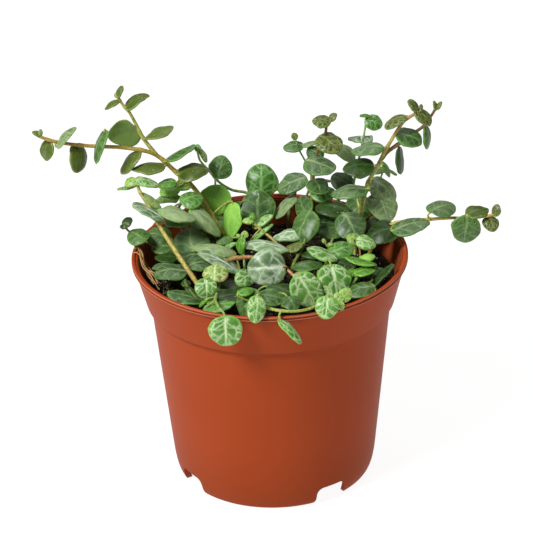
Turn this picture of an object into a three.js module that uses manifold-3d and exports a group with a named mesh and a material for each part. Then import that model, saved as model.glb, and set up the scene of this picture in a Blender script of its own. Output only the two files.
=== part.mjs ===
// A potted peperomia: a thin-walled plastic nursery pot, its peat, and the leafy stems growing out of it.
// Millimetres, +Z up. The origin is under the middle of the pot, on the surface that the pot stands on.
// The front of the pot faces -Y.

import * as THREE from 'three';
import { mergeVertices } from 'three/addons/utils/BufferGeometryUtils.js';
import Module from 'manifold-3d';

const wasm = await Module();
wasm.setup();

// Driving dimensions of the pot.
const potHeight = 94;
const rimRadius = 54;
const rimDepth = 1.6;
const collarTopRadius = 53.1;
const collarFootRadius = 48.8;
const collarFootHeight = 75.4;
const bodyTopRadius = 47.2;
const bodyTopHeight = 74.4;
const bodyFootRadius = 40.5;
const bodyFootHeight = 8;
const footRadius = 36.7;
const wallThickness = 1.4;
const plateUnderside = 7.8;
const plateThickness = 1.5;
const potSides = 32;
const holeSides = 6;
const notchAngles = [33, 123, 213, 303];
const notchWidth = 13;
const drainRadius = 3;
const drainRingRadius = 24;

// Driving dimensions of the peat and of the plant.
const soilTop = 83.5;
const soilGap = 0.7;
const rootDepth = 4.5;
const rootRise = 3.5;
const holeGap = 0.35;
const stemSides = 4;
const stemStep = 7;
const stalkHalfWidth = 0.45;
const rimHalfThickness = 0.32;
const tinyBlade = 4.5;
const smallBlade = 10.5;
const straightStalk = 3;
const straightEnough = 0.6;
const runPlaces = 6;

// The plant is laid out on a drawing seen from the front and from above.
// A place is [across, up, back]: millimetres right of and above the middle of the drawing, and
// millimetres behind the pot's axis along Y.
const viewPitch = THREE.MathUtils.degToRad(27);
const viewRoll = THREE.MathUtils.degToRad(-1.6);
const viewDistance = 1000;
const viewCentre = new THREE.Vector3(-1.4, 0, 87.9);

// Each stem: where it leaves the peat [x, y], or the stem that it branches from, its thickness, its
// route, and its blades.
// A blade: [across, up, back, length, width, way its tip points on the drawing in degrees, angle
// between its face and the line of sight, way that its face leans on the drawing].
const stems = {
  longLeft: {
    root: [-16, 21], thick: 2.2,
    route: [
      [-20, 17.5, 24], [-26, 27.5, 27], [-31, 33.5, 29], [-36, 37.5, 29], [-41.5, 42.5, 30],
      [-46.5, 45, 29], [-55.5, 46.5, 28], [-65, 47, 27], [-73, 47.5, 26], [-81, 48.5, 25],
      [-86.5, 50, 24], [-91, 52, 24],
    ],
    blades: [
      [-90, 52, 24, 3.6, 2.4, 155, 45, 60], [-88.5, 52.5, 24, 2.6, 1.8, 85, 40, 0],
      [-86, 45.5, 25, 8, 7, -95, 44, 180], [-79, 51, 24, 10.5, 8.5, 48, 70, 138],
      [-73.5, 42.5, 25, 11.2, 9.5, -92, 50, 0], [-65.5, 47, 22, 13.2, 9.5, -105, 68, 165],
      [-53.5, 41, 27, 11.2, 8.5, -130, 56, 140], [-46.5, 39, 26, 13, 9.5, 185, 66, 95],
      [-33.5, 44.5, 27, 12.2, 9, 28, 74, 118], [-29, 37.5, 25, 11.8, 10.5, 10, 50, 100],
      [-39, 32.5, 24, 7.5, 6, 190, 58, 100], [-38, 30, 29, 8, 7, 200, 55, 90],
      [-32.5, 32, 33, 7, 6, 15, 45, 90], [-14, 17.6, 22, 14.5, 10.5, -95, 50, 180],
    ],
  },
  shortLeft: {
    from: 'longLeft', thick: 1.8,
    route: [
      [-43, 43.5, 30], [-45, 46, 30], [-47, 48.5, 31], [-49, 51.5, 31], [-51, 55.5, 32],
      [-53.5, 60, 32], [-56, 63, 33], [-58, 66, 33],
    ],
    blades: [
      [-55.5, 52, 34, 12.8, 12, 190, 140, 80], [-51, 65, 33, 10.3, 8, 32, 58, 122],
      [-60.5, 63.5, 33, 6.6, 4.5, 213, 62, 123], [-57.5, 68.5, 33, 4.8, 3.4, 70, 50, 160],
      [-59, 67, 33, 2, 1.4, 115, 20, 90], [-42, 52.5, 31, 11.5, 9, 22, 62, 112],
    ],
  },
  backLeft: {
    root: [-3, 40], thick: 1.5,
    route: [
      [-3, 23.5, 42], [-7, 28.5, 41], [-13.5, 30, 39], [-18.5, 33, 36], [-22.5, 37.5, 34],
      [-26, 41.5, 32], [-27, 45, 31],
    ],
    blades: [
      [-27, 46.5, 31, 3, 2.6, 95, 20, 90], [-24.5, 43.5, 31, 5.6, 3.4, -65, 55, 25],
      [-18, 39, 36, 9.2, 9, 80, 10, 90], [-20, 26, 30, 12.3, 12, -90, 165, 90],
    ],
  },
  leaningLeft: {
    root: [-27, -18], thick: 2.2,
    route: [
      [-27, -7, -15], [-30, -2.5, -12], [-35, 5, -6], [-40.5, 13.5, 2], [-43, 18, 5],
      [-46, 23.5, 9], [-49.5, 29, 13], [-50.5, 32, 15],
    ],
    blades: [
      [-47, 33, 14, 9.5, 7.5, -12, 62, 78], [-53.5, 33, 15, 5, 4.5, 215, 45, 125],
      [-56, 30.5, 15, 4.8, 3, 185, 75, 95], [-45, 26, 13, 9.3, 6.5, -38, 68, 52],
      [-46, 21.5, 6, 13.5, 9.5, 152, 66, 62], [-35, 20.5, 8, 14.8, 11, -14, 64, 76],
      [-35, 17.5, 14, 9, 8, -10, 60, 85],
    ],
  },
  leftTip: {
    root: [-36, 8], thick: 1.4,
    route: [
      [-39.5, 4.5, 10], [-45, 8, 10], [-47, 9.5, 10], [-50.5, 12, 12], [-53.5, 13.5, 12],
      [-55, 15, 12],
    ],
    blades: [
      [-54.5, 17.5, 12, 4.5, 4, 60, 35, 120], [-56, 15.5, 12, 2.8, 2, 170, 40, 60],
      [-50.5, 12, 9, 9.4, 8, 150, 45, 105], [-42, 12, 15, 9.5, 9.2, 170, 30, 90],
      [-39.5, 7.5, 11, 11, 9.2, 175, 48, 90],
    ],
  },
  leftMat: {
    root: [-22, 6], thick: 1.6,
    route: [[-26, 1, 3], [-31, -3.5, -5], [-31.5, -7, -20], [-27.5, -12.5, -32]],
    blades: [
      [-29.5, 10, 11, 14, 13.5, 100, 42, 90], [-39.5, 3.5, 2, 8, 7, 180, 60, 90],
      [-28.5, 4, 3, 12, 9, 190, 55, 90], [-39.5, 0, -3, 10.5, 8, 175, 66, 90],
      [-37.5, -2, -9, 13, 11, 185, 58, 95], [-31.5, -6.5, -16, 4.5, 3.5, 80, 60, 90],
      [-29.5, -9.5, -25, 5, 3.6, -45, 60, 60], [-32, -12, -30, 13, 10, 165, 62, 75],
      [-26, 1, -5, 10.5, 8, 10, 60, 90],
    ],
  },
  backMat: {
    root: [-22, 30], thick: 1.6,
    route: [[-24, 13.5, 30], [-30, 19, 29], [-34.5, 23, 29]],
    blades: [
      [-39, 27, 28, 9.4, 7.5, 190, 60, 100], [-29.5, 26.5, 21, 8.8, 8.5, 20, 42, 90],
      [-23.5, 18, 16, 15.5, 10, -42, 58, 48], [-26, 16.5, 22, 8, 7, 160, 50, 90],
    ],
  },
  frontLeft: {
    root: [-20, -12], thick: 1.7,
    route: [[-19, -9, -22], [-20, -13, -36], [-19.5, -14.5, -47], [-18.5, -16.5, -52]],
    blades: [
      [-20, -2, -16, 10.5, 9.5, 80, 48, 95], [-21, -5.5, -18, 2.4, 1.6, 20, 30, 90],
      [-23.5, -9, -24.5, 8.6, 8.5, -90, 8, 90], [-25, -14.5, -34, 3.6, 2, 225, 60, 135],
      [-21.5, -14.5, -33, 4.5, 3.5, -30, 50, 60], [-13.5, -7, -14, 13, 9, 10, 62, 95],
      [-14.5, -12, -30, 13.5, 10.5, 10, 58, 90], [-18.5, -15.5, -38, 11.8, 8.5, 13, 65, 103],
      [-16, -25.5, -56, 11.6, 12.2, -88, 20, -90],
    ],
  },
  brownStem: {
    root: [-17, 4], thick: 1.9,
    route: [
      [-15, 2.5, -2], [-10.5, 3.5, -5], [-5, 3.5, -9], [1.5, 2, -13], [7, -0.5, -17], [10, -3, -20],
      [13.5, -6, -24],
    ],
    blades: [
      [-20.5, 7, 4, 17, 10, 172, 68, 82], [-18.5, 2, -4, 17, 10.5, 153, 62, 63],
      [0, -0.5, -20, 14, 13.8, 185, 5, 90], [-8.5, -4.5, -18, 8.5, 7.5, -150, 40, 60],
      [16, -9.5, -32, 14, 12.5, -60, 15, 20], [12.5, -3.5, -24, 5, 4, 60, 55, 90],
    ],
  },
  frontRunner: {
    root: [-8, -34], thick: 1.5,
    route: [
      [-4, -14.5, -44], [0, -16, -50], [3.5, -17, -52], [7.5, -17.5, -53], [11.5, -17.5, -53],
      [17, -16.5, -51], [21, -14.5, -47], [26.5, -12.5, -42],
    ],
    blades: [
      [-7, -15, -43, 12, 11, -100, 35, 170], [-4, -16.8, -54.5, 9.8, 7.2, -95, 10, 0],
      [-8, -9.5, -42, 6.5, 5, 15, 60, 90], [2, -12, -40, 11, 8.5, -10, 50, 80],
      [6, -9.5, -28.5, 12, 9, -20, 50, 90], [9.5, -25, -58, 11.7, 7, -48, 65, 42],
      [23.5, -16, -52, 8.4, 8.3, -100, 5, 90], [28.5, -12, -44, 4, 4, 60, 10, 90],
      [31, -11, -43, 5.8, 5, 50, 15, 45], [29, -15.5, -48, 3.2, 3, -60, 0, 0],
      [9.5, -14, -42, 8, 7, -60, 45, 90],
    ],
  },
  youngShoot: {
    root: [8, 6], thick: 1.5,
    route: [[3.5, 9.5, 8], [-0.5, 13, 12], [-3.5, 15.5, 14], [-5.5, 17.5, 15]],
    blades: [
      [-7, 18, 15, 4.8, 3.4, 185, 40, 90], [-5.5, 19.5, 15.5, 3.2, 2.6, 80, 20, 90],
      [-1.5, 18, 17, 9, 6.5, 32, 62, 122], [-2, 13.5, 14, 10.5, 6, 38, 76, 128],
    ],
  },
  smallShoot: {
    root: [-10, 2], thick: 1.3,
    route: [[-9, 6.5, 6], [-9, 10.5, 9]],
    blades: [
      [-8.5, 12.5, 9, 3, 2.8, 90, 10, 90], [-11, 12, 9, 2, 1.4, 150, 20, 90],
      [-10, 8, 1, 6.5, 4.5, -95, 40, 180], [-14.5, 8, 10, 5.6, 3.2, 205, 60, 115],
      [-16.5, 10.2, 13.4, 7, 5, 200, 60, 90],
    ],
  },
  centreShoot: {
    root: [8, -10], thick: 1.6,
    route: [[10.5, 0.5, -4], [12.5, 4.5, 1], [14.5, 8.5, 5], [16, 14.5, 13], [17, 20, 19]],
    blades: [
      [14.5, 23.5, 24, 10.5, 7.5, 110, 45, 150], [14.5, 15.3, 12, 14.2, 12, -110, 38, 150],
      [8.5, 12.5, 12, 12.2, 8.5, 190, 60, 100], [10.5, 7.5, 3, 7.8, 6, 200, 58, 110],
      [0, 8, 2, 17.5, 11, 172, 66, 82], [16, 0.5, -8, 12, 8, 10, 62, 90], [18.5, 5, 2, 9.5, 7.5, 0, 60, 90],
    ],
  },
  backCentre: {
    root: [0, 34], thick: 1.8,
    route: [[-1, 17.5, 36], [-2, 23, 38], [-1, 27.5, 40], [3.5, 30, 41], [13, 32.5, 40]],
    blades: [
      [-2, 34, 42, 13, 12.8, 92, 8, 90], [-3.5, 23, 33, 14, 13.5, 92, 8, 90],
      [10, 32.5, 38, 12.2, 10.5, 205, 42, 115], [7, 23.5, 34, 11.5, 8, 228, 58, 140],
      [-12.5, 23.5, 33, 6, 4, 215, 50, 125],
    ],
  },
  tallCentre: {
    root: [14, 26], thick: 1.8,
    route: [
      [16.5, 20, 28], [18, 27.5, 30], [18, 34, 30], [19.5, 42.5, 30], [20.5, 46.5, 29],
      [23, 52, 29], [23.5, 55.5, 29], [24.5, 57.5, 29],
    ],
    blades: [
      [21.5, 57, 28, 7, 6.6, 175, 45, 90], [26, 58.5, 28, 3.8, 3, 55, 25, 150],
      [24.5, 48.5, 25, 11, 10.5, -40, 39, 90], [19, 44.5, 33, 7, 6.5, 150, 30, 90],
      [21, 39.5, 24, 12.8, 11, -20, 48, 95], [23, 33.5, 30, 4.8, 3, 0, 75, 90],
      [22, 29, 31, 10, 9.5, -60, 45, 90], [20, 31.5, 25, 10, 8.5, -60, 50, 90],
    ],
  },
  smallTip: {
    root: [10, 32], thick: 1.2,
    route: [[14.5, 24, 36], [17.5, 34, 36], [16, 39.5, 36], [14.5, 42.5, 35], [12.5, 46, 35]],
    blades: [
      [10.5, 47, 35, 7.8, 6, 190, 45, 100], [11, 51, 35, 3, 2.6, 110, 20, 90],
      [17, 48, 35, 6.3, 4, 15, 65, 105],
    ],
  },
  midTip: {
    root: [27, 32], thick: 1.4,
    route: [
      [30.5, 22, 34], [33.5, 30, 36], [35, 37, 36], [36.5, 43.5, 36], [38, 50.5, 36], [39, 57, 36],
    ],
    blades: [
      [42, 56.5, 36, 7, 6.6, -20, 20, 60], [38.5, 59, 36, 4, 2, 175, 60, 90],
      [37, 50, 37, 7, 9.3, -90, 70, 90], [30.5, 45, 38, 10, 8, 145, 45, 55],
      [29.5, 33.5, 40, 9, 8.5, 150, 30, 90],
    ],
  },
  forkedRight: {
    root: [34, 18], thick: 2.2,
    route: [
      [36.5, 20, 22], [39, 30.5, 17], [41.5, 36, 17], [44, 40, 17], [45.5, 43.5, 17], [48, 48, 17],
      [52, 54.5, 17], [54.5, 57.5, 17], [58.5, 60, 17],
    ],
    blades: [
      [57.5, 63, 17, 5.6, 4.4, 125, 45, 35], [61.5, 58.5, 16, 8, 6.6, -45, 40, 45],
      [60.5, 62.5, 17, 2.2, 1.6, 80, 20, 90], [50.5, 57, 17, 9.4, 7, 208, 55, 118],
      [39.5, 46, 15, 12.2, 9, 188, 62, 98], [36, 39, 13, 11.8, 9.8, 188, 45, 98],
      [32.5, 29.5, 10, 13.8, 10, 190, 60, 100], [46, 30, 20, 12.5, 11, -45, 40, 45],
      [45.5, 23.5, 14, 12.8, 12, -70, 28, 60], [36, 23, 26, 12, 10, -80, 30, 100],
    ],
  },
  forkRight2: {
    from: 'forkedRight', thick: 1.8,
    route: [
      [45, 42, 17], [47.5, 45, 18], [52.5, 48.5, 19], [56.5, 51.5, 20], [61.5, 55, 21],
      [64.5, 59, 21], [66, 61.5, 21],
    ],
    blades: [
      [56, 50.5, 17, 10.2, 9.4, -20, 40, 70], [66, 63, 21, 3.8, 2, 100, 45, 10],
      [67.5, 63, 21, 3.6, 2, 60, 45, 150], [63, 50.5, 21, 9, 6.5, -82, 65, 0],
      [52.5, 41.5, 19, 10.5, 7, -84, 65, 0],
    ],
  },
  twig: {
    root: [40, 22], thick: 1.2,
    route: [[43.5, 22, 25], [44.5, 32, 28], [45, 35.5, 28], [46, 38, 28]],
    blades: [
      [46.5, 39, 28, 5, 3.2, 115, 55, 25], [47, 37, 28, 4.6, 2.6, -50, 60, 40],
      [49, 37, 28, 4.8, 1.8, -32, 65, 58], [43.5, 37.5, 30, 6, 4, 200, 55, 90],
      [42.8, 15.3, 16.5, 9, 8, -60, 35, 90],
    ],
  },
  sideRight: {
    root: [38, 4], thick: 1.8,
    route: [
      [44.5, 13.5, 6], [49, 16.5, 6], [56, 18, 5], [64, 18.5, 5], [72, 19, 5], [79.5, 19, 5],
      [85, 19.5, 5], [89.5, 20.5, 5],
    ],
    blades: [
      [45, 13.4, 3, 12, 11, 205, 38, 110], [56.5, 16, 1, 14.5, 10, 15, 52, 100],
      [68.5, 23, 6, 12.5, 9.5, 20, 56, 80], [82.5, 21.5, 6, 9.4, 7, 15, 50, 85],
      [78, 14.5, 2, 11, 10.8, -95, 22, -90], [88, 17, 4, 6.8, 6.3, -70, 30, 90],
      [90, 22, 5, 4.7, 3.6, 82, 30, 180],
    ],
  },
  rightMat: {
    root: [24, 8], thick: 1.6,
    route: [[25.5, 9.5, 12], [28, 14.5, 16], [30.5, 19, 20]],
    blades: [
      [33, 16, 12.5, 12.5, 12, -62, 25, 90], [25.5, 23, 22, 12.5, 9, 175, 50, 90],
      [25.5, 14.5, 17, 12, 9, 190, 45, 90], [23, 19.5, 27, 9, 8, 200, 45, 95],
    ],
  },
  yellowTip: {
    root: [32, -2], thick: 1.2,
    route: [[36.5, 2, -4], [36.5, 6.5, 1], [36, 9.5, 4]],
    blades: [[34, 11, 4, 5.8, 5.5, 150, 30, 90], [39, 9.5, -2, 7.8, 6.5, -20, 35, 80]],
  },
  frontMat: {
    root: [18, -8], thick: 1.7,
    route: [[21.5, -1.5, -12], [25, 2, -9], [26.5, 4, -5], [25, 7, -1]],
    blades: [
      [26.5, -5.5, -26, 13.5, 12.5, -80, 25, 60], [22, 5, -7, 12.2, 8, 158, 58, 68],
      [29, 6.5, -2, 10, 8.5, 20, 38, 90], [25, 8.5, 0, 2.8, 1.8, 0, 45, 90],
      [22.5, 10, 0, 2.2, 1.5, 120, 30, 60], [30.5, 0.5, -10, 9, 7.5, -15, 55, 90],
      [23.5, -7, -19, 10.5, 9, -120, 35, 120],
    ],
  },
  brightShoot: {
    root: [30, -22], thick: 1.4,
    route: [[33.5, -7.5, -24], [36, -3.5, -20], [37.5, -0.5, -16], [39, 2, -13]],
    blades: [
      [37, 2, -15, 12, 6.5, 166, 72, 76], [39.5, 3.5, -10, 6.5, 5, 20, 55, 90],
      [38.5, -2, -20, 8, 6, 8, 62, 90], [33.5, -2.5, -18, 4.5, 4, 200, 45, 90],
      [33, -4.4, -14, 7.2, 6.3, 190, 55, 90],
    ],
  },
  backRunner: {
    root: [8, 42], thick: 1.6,
    route: [[9, 24.5, 46], [10, 30, 51.5], [10.5, 30.5, 56.5], [11, 25, 58], [12, 16, 58.5], [13, 9, 58.5]],
    blades: [
      [6, 23, 58.5, 12, 11, -100, 155, 90], [17, 18, 57.5, 11, 10.5, -70, 155, 80],
      [8, 11, 59, 10, 9.5, -105, 155, 90], [14, 4.5, 58.5, 6, 5, -85, 155, 90],
    ],
  },
  backRight: {
    root: [20, 38], thick: 1.6,
    route: [[24, 20.5, 41], [30, 28, 43], [34, 28, 47], [36, 20, 48.5], [37, 12, 48.5], [38, 7, 48.5]],
    blades: [
      [30, 19.5, 51, 11, 10.5, -110, 145, 110], [41, 13.5, 45, 11, 10, -60, 140, 70],
      [33, 8, 51, 9.5, 9, -110, 150, 100], [38.5, 2.5, 48.5, 6, 5.5, -85, 150, 90],
      [20, 17, 38, 9, 8.5, 20, 60, 90],
    ],
  },
  backSpill: {
    root: [-14, 36], thick: 1.6,
    route: [[-21, 20, 41], [-28, 26, 43], [-31, 27.5, 45], [-34, 24, 48], [-36, 16, 48.5], [-37, 8, 48]],
    blades: [
      [-28, 20, 52, 11, 10.5, -90, 150, 90], [-41, 14, 44, 11, 10, -110, 145, 110],
      [-32, 9, 51, 10, 9, -70, 150, 90], [-38, 2.5, 47.5, 5.5, 5, -95, 150, 90],
      [-17, 18, 40, 10, 9, 150, 60, 90],
    ],
  },
  rightRim: {
    root: [38, -14], thick: 1.4,
    route: [[41.5, -5.5, -22], [38, -8, -29]],
    blades: [
      [45, -3.5, -20, 12, 7.5, 45, 74, 135], [43.2, -2.5, -13, 7.5, 6.3, 45, 50, 90],
      [37, -9, -29, 11, 8.6, 193, 48, 100],
    ],
  },
};

const potPlastic = new THREE.MeshStandardMaterial({ color: 0xb3512f, roughness: 0.5, metalness: 0 });
const peat = new THREE.MeshStandardMaterial({ color: 0x2a211b, roughness: 0.95, metalness: 0 });
const greenTissue = new THREE.MeshStandardMaterial({ color: 0x5f7d4c, roughness: 0.45, metalness: 0 });

// A closed solid from a geometry, with its shared vertices merged.
function solidOf(geometry) {
  const plain = geometry.index ? geometry.toNonIndexed() : geometry.clone();
  plain.deleteAttribute('normal');
  plain.deleteAttribute('uv');
  const merged = mergeVertices(plain, 1e-4);
  return new wasm.Manifold(new wasm.Mesh({
    numProp: 3,
    vertProperties: Float32Array.from(merged.attributes.position.array),
    triVerts: Uint32Array.from(merged.index.array),
  }));
}

// A named mesh from a solid.
function pieceOf(name, solid, material) {
  const mesh = solid.getMesh();
  const geometry = new THREE.BufferGeometry();
  geometry.setAttribute('position', new THREE.BufferAttribute(Float32Array.from(mesh.vertProperties), 3));
  geometry.setIndex(new THREE.BufferAttribute(Uint32Array.from(mesh.triVerts), 1));
  geometry.computeVertexNormals();
  const piece = new THREE.Mesh(geometry, material);
  piece.name = name;
  return piece;
}

// The drawing's axes in space: right, up and towards the viewer.
const drawingRight = new THREE.Vector3(Math.cos(viewRoll), Math.sin(viewRoll) * Math.sin(viewPitch),
  Math.sin(viewRoll) * Math.cos(viewPitch));
const drawingUp = new THREE.Vector3(-Math.sin(viewRoll), Math.cos(viewRoll) * Math.sin(viewPitch),
  Math.cos(viewRoll) * Math.cos(viewPitch));
const towardsViewer = new THREE.Vector3(0, -Math.cos(viewPitch), Math.sin(viewPitch));
const eye = viewCentre.clone().addScaledVector(towardsViewer, viewDistance);

// The point in space that lies behind [across, up] on the drawing, at the given depth along Y.
function placeOf([across, up, back]) {
  const sight = towardsViewer.clone().multiplyScalar(-viewDistance)
    .addScaledVector(drawingRight, across)
    .addScaledVector(drawingUp, up);
  return eye.clone().addScaledVector(sight, (back - eye.y) / sight.y);
}

// A direction on the drawing, from an angle in degrees.
function directionOf(degrees) {
  const angle = THREE.MathUtils.degToRad(degrees);
  return drawingRight.clone().multiplyScalar(Math.cos(angle)).addScaledVector(drawingUp, Math.sin(angle));
}

// A blade's middle and its axes: along to the tip, across it, and out of its upper face.
function frameOf([across, up, back, length, width, point, turn, lean]) {
  const angle = THREE.MathUtils.degToRad(turn);
  const leaning = directionOf(lean);
  const pointing = directionOf(point);
  const face = towardsViewer.clone().multiplyScalar(Math.cos(angle)).addScaledVector(leaning, Math.sin(angle));
  const slope = -Math.tan(angle) * pointing.dot(leaning);
  const tip = pointing.addScaledVector(towardsViewer, slope).normalize();
  const side = new THREE.Vector3().crossVectors(face, tip);
  return { middle: placeOf([across, up, back]), tip, side, face, length, width };
}

// A leaf: a thick-edged disc, rounder towards its base and raised in the middle. Its base narrows into
// a three-sided stalk that runs to the given place on its stem.
function leafSolid({ middle, tip, side, face, length, width }, start) {
  const sides = length < tinyBlade ? 4 : length < smallBlade ? 6 : 8;
  const crown = 0.1 * width;
  const across = Math.min(stalkHalfWidth, 0.3 * width);
  const at = (along, over, height) => middle.clone().addScaledVector(tip, along)
    .addScaledVector(side, over).addScaledVector(face, height);
  const upper = [];
  const lower = [];
  const neck = sides / 2;
  for (let i = 0; i < sides; i += 1) {
    const angle = i * 2 * Math.PI / sides;
    const along = Math.cos(angle) * length / 2;
    const over = Math.sin(angle) * (1 - 0.1 * Math.cos(angle)) * width / 2;
    const overs = i === neck ? [across, -across] : [over];
    upper.push(...overs.map((place) => at(along, place, rimHalfThickness - crown / 2)));
    lower.push(at(along, i === neck ? 0 : over, -rimHalfThickness - crown / 2));
  }
  const points = [...upper, ...lower, at(0, 0, 0.55 + crown / 2), at(0, 0, -0.35 + crown / 4)];
  const under = (i) => upper.length + (i > neck ? i - 1 : i) % sides;
  const crest = upper.length + sides;
  const triangles = [];
  for (let i = 0; i < upper.length; i += 1) {
    const next = (i + 1) % upper.length;
    triangles.push(i, next, crest);
    if (i !== neck) {
      triangles.push(under(next), under(i), crest + 1);
      triangles.push(under(i), under(next), next);
      triangles.push(under(i), next, i);
    }
  }
  const base = at(-length / 2, 0, -crown / 2);
  const reach = start.distanceTo(base);
  const away = tip.clone().negate();
  const heading = start.clone().sub(base).normalize();
  const bent = reach > straightStalk && heading.dot(away) < straightEnough;
  const stops = bent ? [base.clone().addScaledVector(away, 0.35 * reach), start] : [start];
  const turn = new THREE.Quaternion().setFromUnitVectors(away, heading);
  const over = side.clone().applyQuaternion(turn).multiplyScalar(across);
  const rise = face.clone().applyQuaternion(turn).multiplyScalar(across);
  let last = [neck, neck + 1, under(neck)];
  for (const stop of stops) {
    const first = points.length;
    points.push(stop.clone().add(over).addScaledVector(rise, 0.6));
    points.push(stop.clone().sub(over).addScaledVector(rise, 0.6));
    points.push(stop.clone().addScaledVector(rise, -1));
    const section = [first, first + 1, first + 2];
    for (let i = 0; i < 3; i += 1) {
      const next = (i + 1) % 3;
      triangles.push(last[i], section[i], section[next]);
      triangles.push(last[i], section[next], last[next]);
    }
    last = section;
  }
  triangles.push(last[0], last[2], last[1]);
  const geometry = new THREE.BufferGeometry().setFromPoints(points);
  geometry.setIndex(triangles);
  return solidOf(geometry);
}

// A solid tube of a few flat sides along a curve.
function tubeSolid(curve, radius, sides, steps) {
  const section = new THREE.Shape();
  for (let i = 0; i < sides; i += 1) {
    const angle = i * 2 * Math.PI / sides;
    const method = i === 0 ? 'moveTo' : 'lineTo';
    section[method](radius * Math.cos(angle), radius * Math.sin(angle));
  }
  section.closePath();
  return solidOf(new THREE.ExtrudeGeometry(section, { steps, extrudePath: curve, bevelEnabled: false }));
}

function stemCurve(stem) {
  const points = stem.route.map(placeOf);
  if (stem.root) {
    const [x, y] = stem.root;
    points.unshift(new THREE.Vector3(x, y, soilTop - rootDepth), new THREE.Vector3(x, y, soilTop + rootRise));
  }
  return new THREE.CatmullRomCurve3(points, false, 'catmullrom', 0.5);
}

const stepsOf = (curve) => Math.max(4, Math.round(curve.getLength() / stemStep));

// The place on a stem's straight runs, past its root and off its corners, nearest to a blade's base.
function nearestOn(curve, { middle, tip, length }) {
  const base = middle.clone().addScaledVector(tip, -length / 2);
  const corners = curve.getSpacedPoints(stepsOf(curve));
  const places = corners.slice(1).flatMap((corner, i) => (
    Array.from({ length: runPlaces }, (_, k) => corner.clone().lerp(corners[i], (k + 0.5) / runPlaces))
  ));
  const above = places.filter((place) => place.z > soilTop + rootRise / 2);
  return above.reduce((a, b) => (a.distanceTo(base) <= b.distanceTo(base) ? a : b));
}

function stemSolid(stem) {
  const curve = stemCurve(stem);
  let whole = tubeSolid(curve, stem.thick / 2, stemSides, stepsOf(curve));
  for (const row of stem.blades) {
    const blade = frameOf(row);
    whole = whole.add(leafSolid(blade, nearestOn(curve, blade)));
  }
  return whole;
}

function lathedSolid(profile, sides) {
  return solidOf(new THREE.LatheGeometry(profile.map(([r, z]) => new THREE.Vector2(r, z)), sides)
    .rotateX(Math.PI / 2));
}

function drumSolid(radius, low, high, x, y, sides) {
  return solidOf(new THREE.CylinderGeometry(radius, radius, high - low, sides)
    .rotateX(Math.PI / 2).translate(x, y, (low + high) / 2));
}

// Radius of the pot's inner wall at a height below its step.
function bodyInside(z) {
  const rise = (z - bodyFootHeight) / (bodyTopHeight - bodyFootHeight);
  return bodyFootRadius + (bodyTopRadius - bodyFootRadius) * rise - wallThickness;
}

// Radius of the pot's inner wall at a height above its step.
function collarInside(z) {
  const rise = (z - collarFootHeight) / (potHeight - collarFootHeight);
  return collarFootRadius + (collarTopRadius - collarFootRadius) * rise - wallThickness;
}

function potSolid() {
  const plateTop = plateUnderside + plateThickness;
  const lipTop = potHeight - 0.35;
  const profile = [
    [0, plateUnderside],
    [bodyFootRadius - wallThickness, plateUnderside],
    [footRadius + 2.7 - wallThickness, 3.2],
    [footRadius + 1.6 - wallThickness, 1.2],
    [footRadius - wallThickness, 0],
    [footRadius, 0],
    [footRadius + 1.6, 0.9],
    [footRadius + 2.7, 3.2],
    [bodyFootRadius, bodyFootHeight],
    [bodyTopRadius, bodyTopHeight],
    [collarFootRadius, collarFootHeight],
    [collarTopRadius, potHeight - rimDepth],
    [rimRadius, potHeight - rimDepth],
    [rimRadius, lipTop],
    [rimRadius - 0.4, potHeight],
    [collarInside(potHeight) - 0.3, potHeight],
    [collarInside(potHeight) - 0.7, lipTop],
    [collarInside(potHeight - rimDepth) - 0.3, potHeight - rimDepth],
    [collarInside(collarFootHeight), collarFootHeight + 0.6],
    [bodyTopRadius - wallThickness, bodyTopHeight + 0.4],
    [bodyInside(plateTop), plateTop],
    [0, plateTop],
  ];
  let pot = lathedSolid(profile, potSides);
  for (const degrees of notchAngles) {
    const angle = THREE.MathUtils.degToRad(degrees);
    const notch = solidOf(new THREE.BoxGeometry(notchWidth, 12, 2 * plateUnderside)
      .translate(0, -footRadius, 0).rotateZ(angle));
    pot = pot.subtract(notch);
    pot = pot.subtract(drumSolid(drainRadius, 0, 2 * plateTop, drainRingRadius * Math.sin(angle),
      -drainRingRadius * Math.cos(angle), holeSides));
  }
  return pot;
}

function soilSolid() {
  const floor = plateUnderside + plateThickness + soilGap;
  const edge = collarInside(soilTop) - soilGap;
  const profile = [
    [0, floor],
    [bodyInside(floor) - soilGap, floor],
    [bodyTopRadius - wallThickness - soilGap, bodyTopHeight + 0.4],
    [collarInside(collarFootHeight) - soilGap, collarFootHeight + 0.6],
    [edge, soilTop - 0.6],
    [edge - 2, soilTop],
    [0, soilTop],
  ];
  let soil = lathedSolid(profile, potSides);
  for (const stem of Object.values(stems)) {
    if (stem.root) {
      const [x, y] = stem.root;
      soil = soil.subtract(drumSolid(stem.thick / 2 + holeGap, soilTop - rootDepth - holeGap, soilTop + 1,
        x, y, holeSides));
    }
  }
  return soil;
}

const group = new THREE.Group();
group.add(pieceOf('pot', potSolid(), potPlastic));
group.add(pieceOf('soil', soilSolid(), peat));

// A branch is one body with the stem that it grows from. Scraps left by the joining are dropped.
const stemSolids = {};
for (const [name, stem] of Object.entries(stems)) {
  if (stem.from) {
    stemSolids[stem.from] = stemSolids[stem.from].add(stemSolid(stem));
  } else {
    stemSolids[name] = stemSolid(stem);
  }
}
for (const [name, solid] of Object.entries(stemSolids)) {
  const bodies = solid.decompose().sort((a, b) => b.volume() - a.volume());
  group.add(pieceOf(`stem_${name}`, bodies[0], greenTissue));
}

export default group;
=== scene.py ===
# A potted peperomia: small thick veined leaves on trailing stems, in a moulded terracotta-coloured nursery
# pot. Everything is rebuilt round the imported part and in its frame. Blender works in metres; the sizes below
# are in mm unless a note says otherwise.
import math
import random

import bmesh
import bpy
from mathutils import Matrix, Vector, noise


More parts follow.
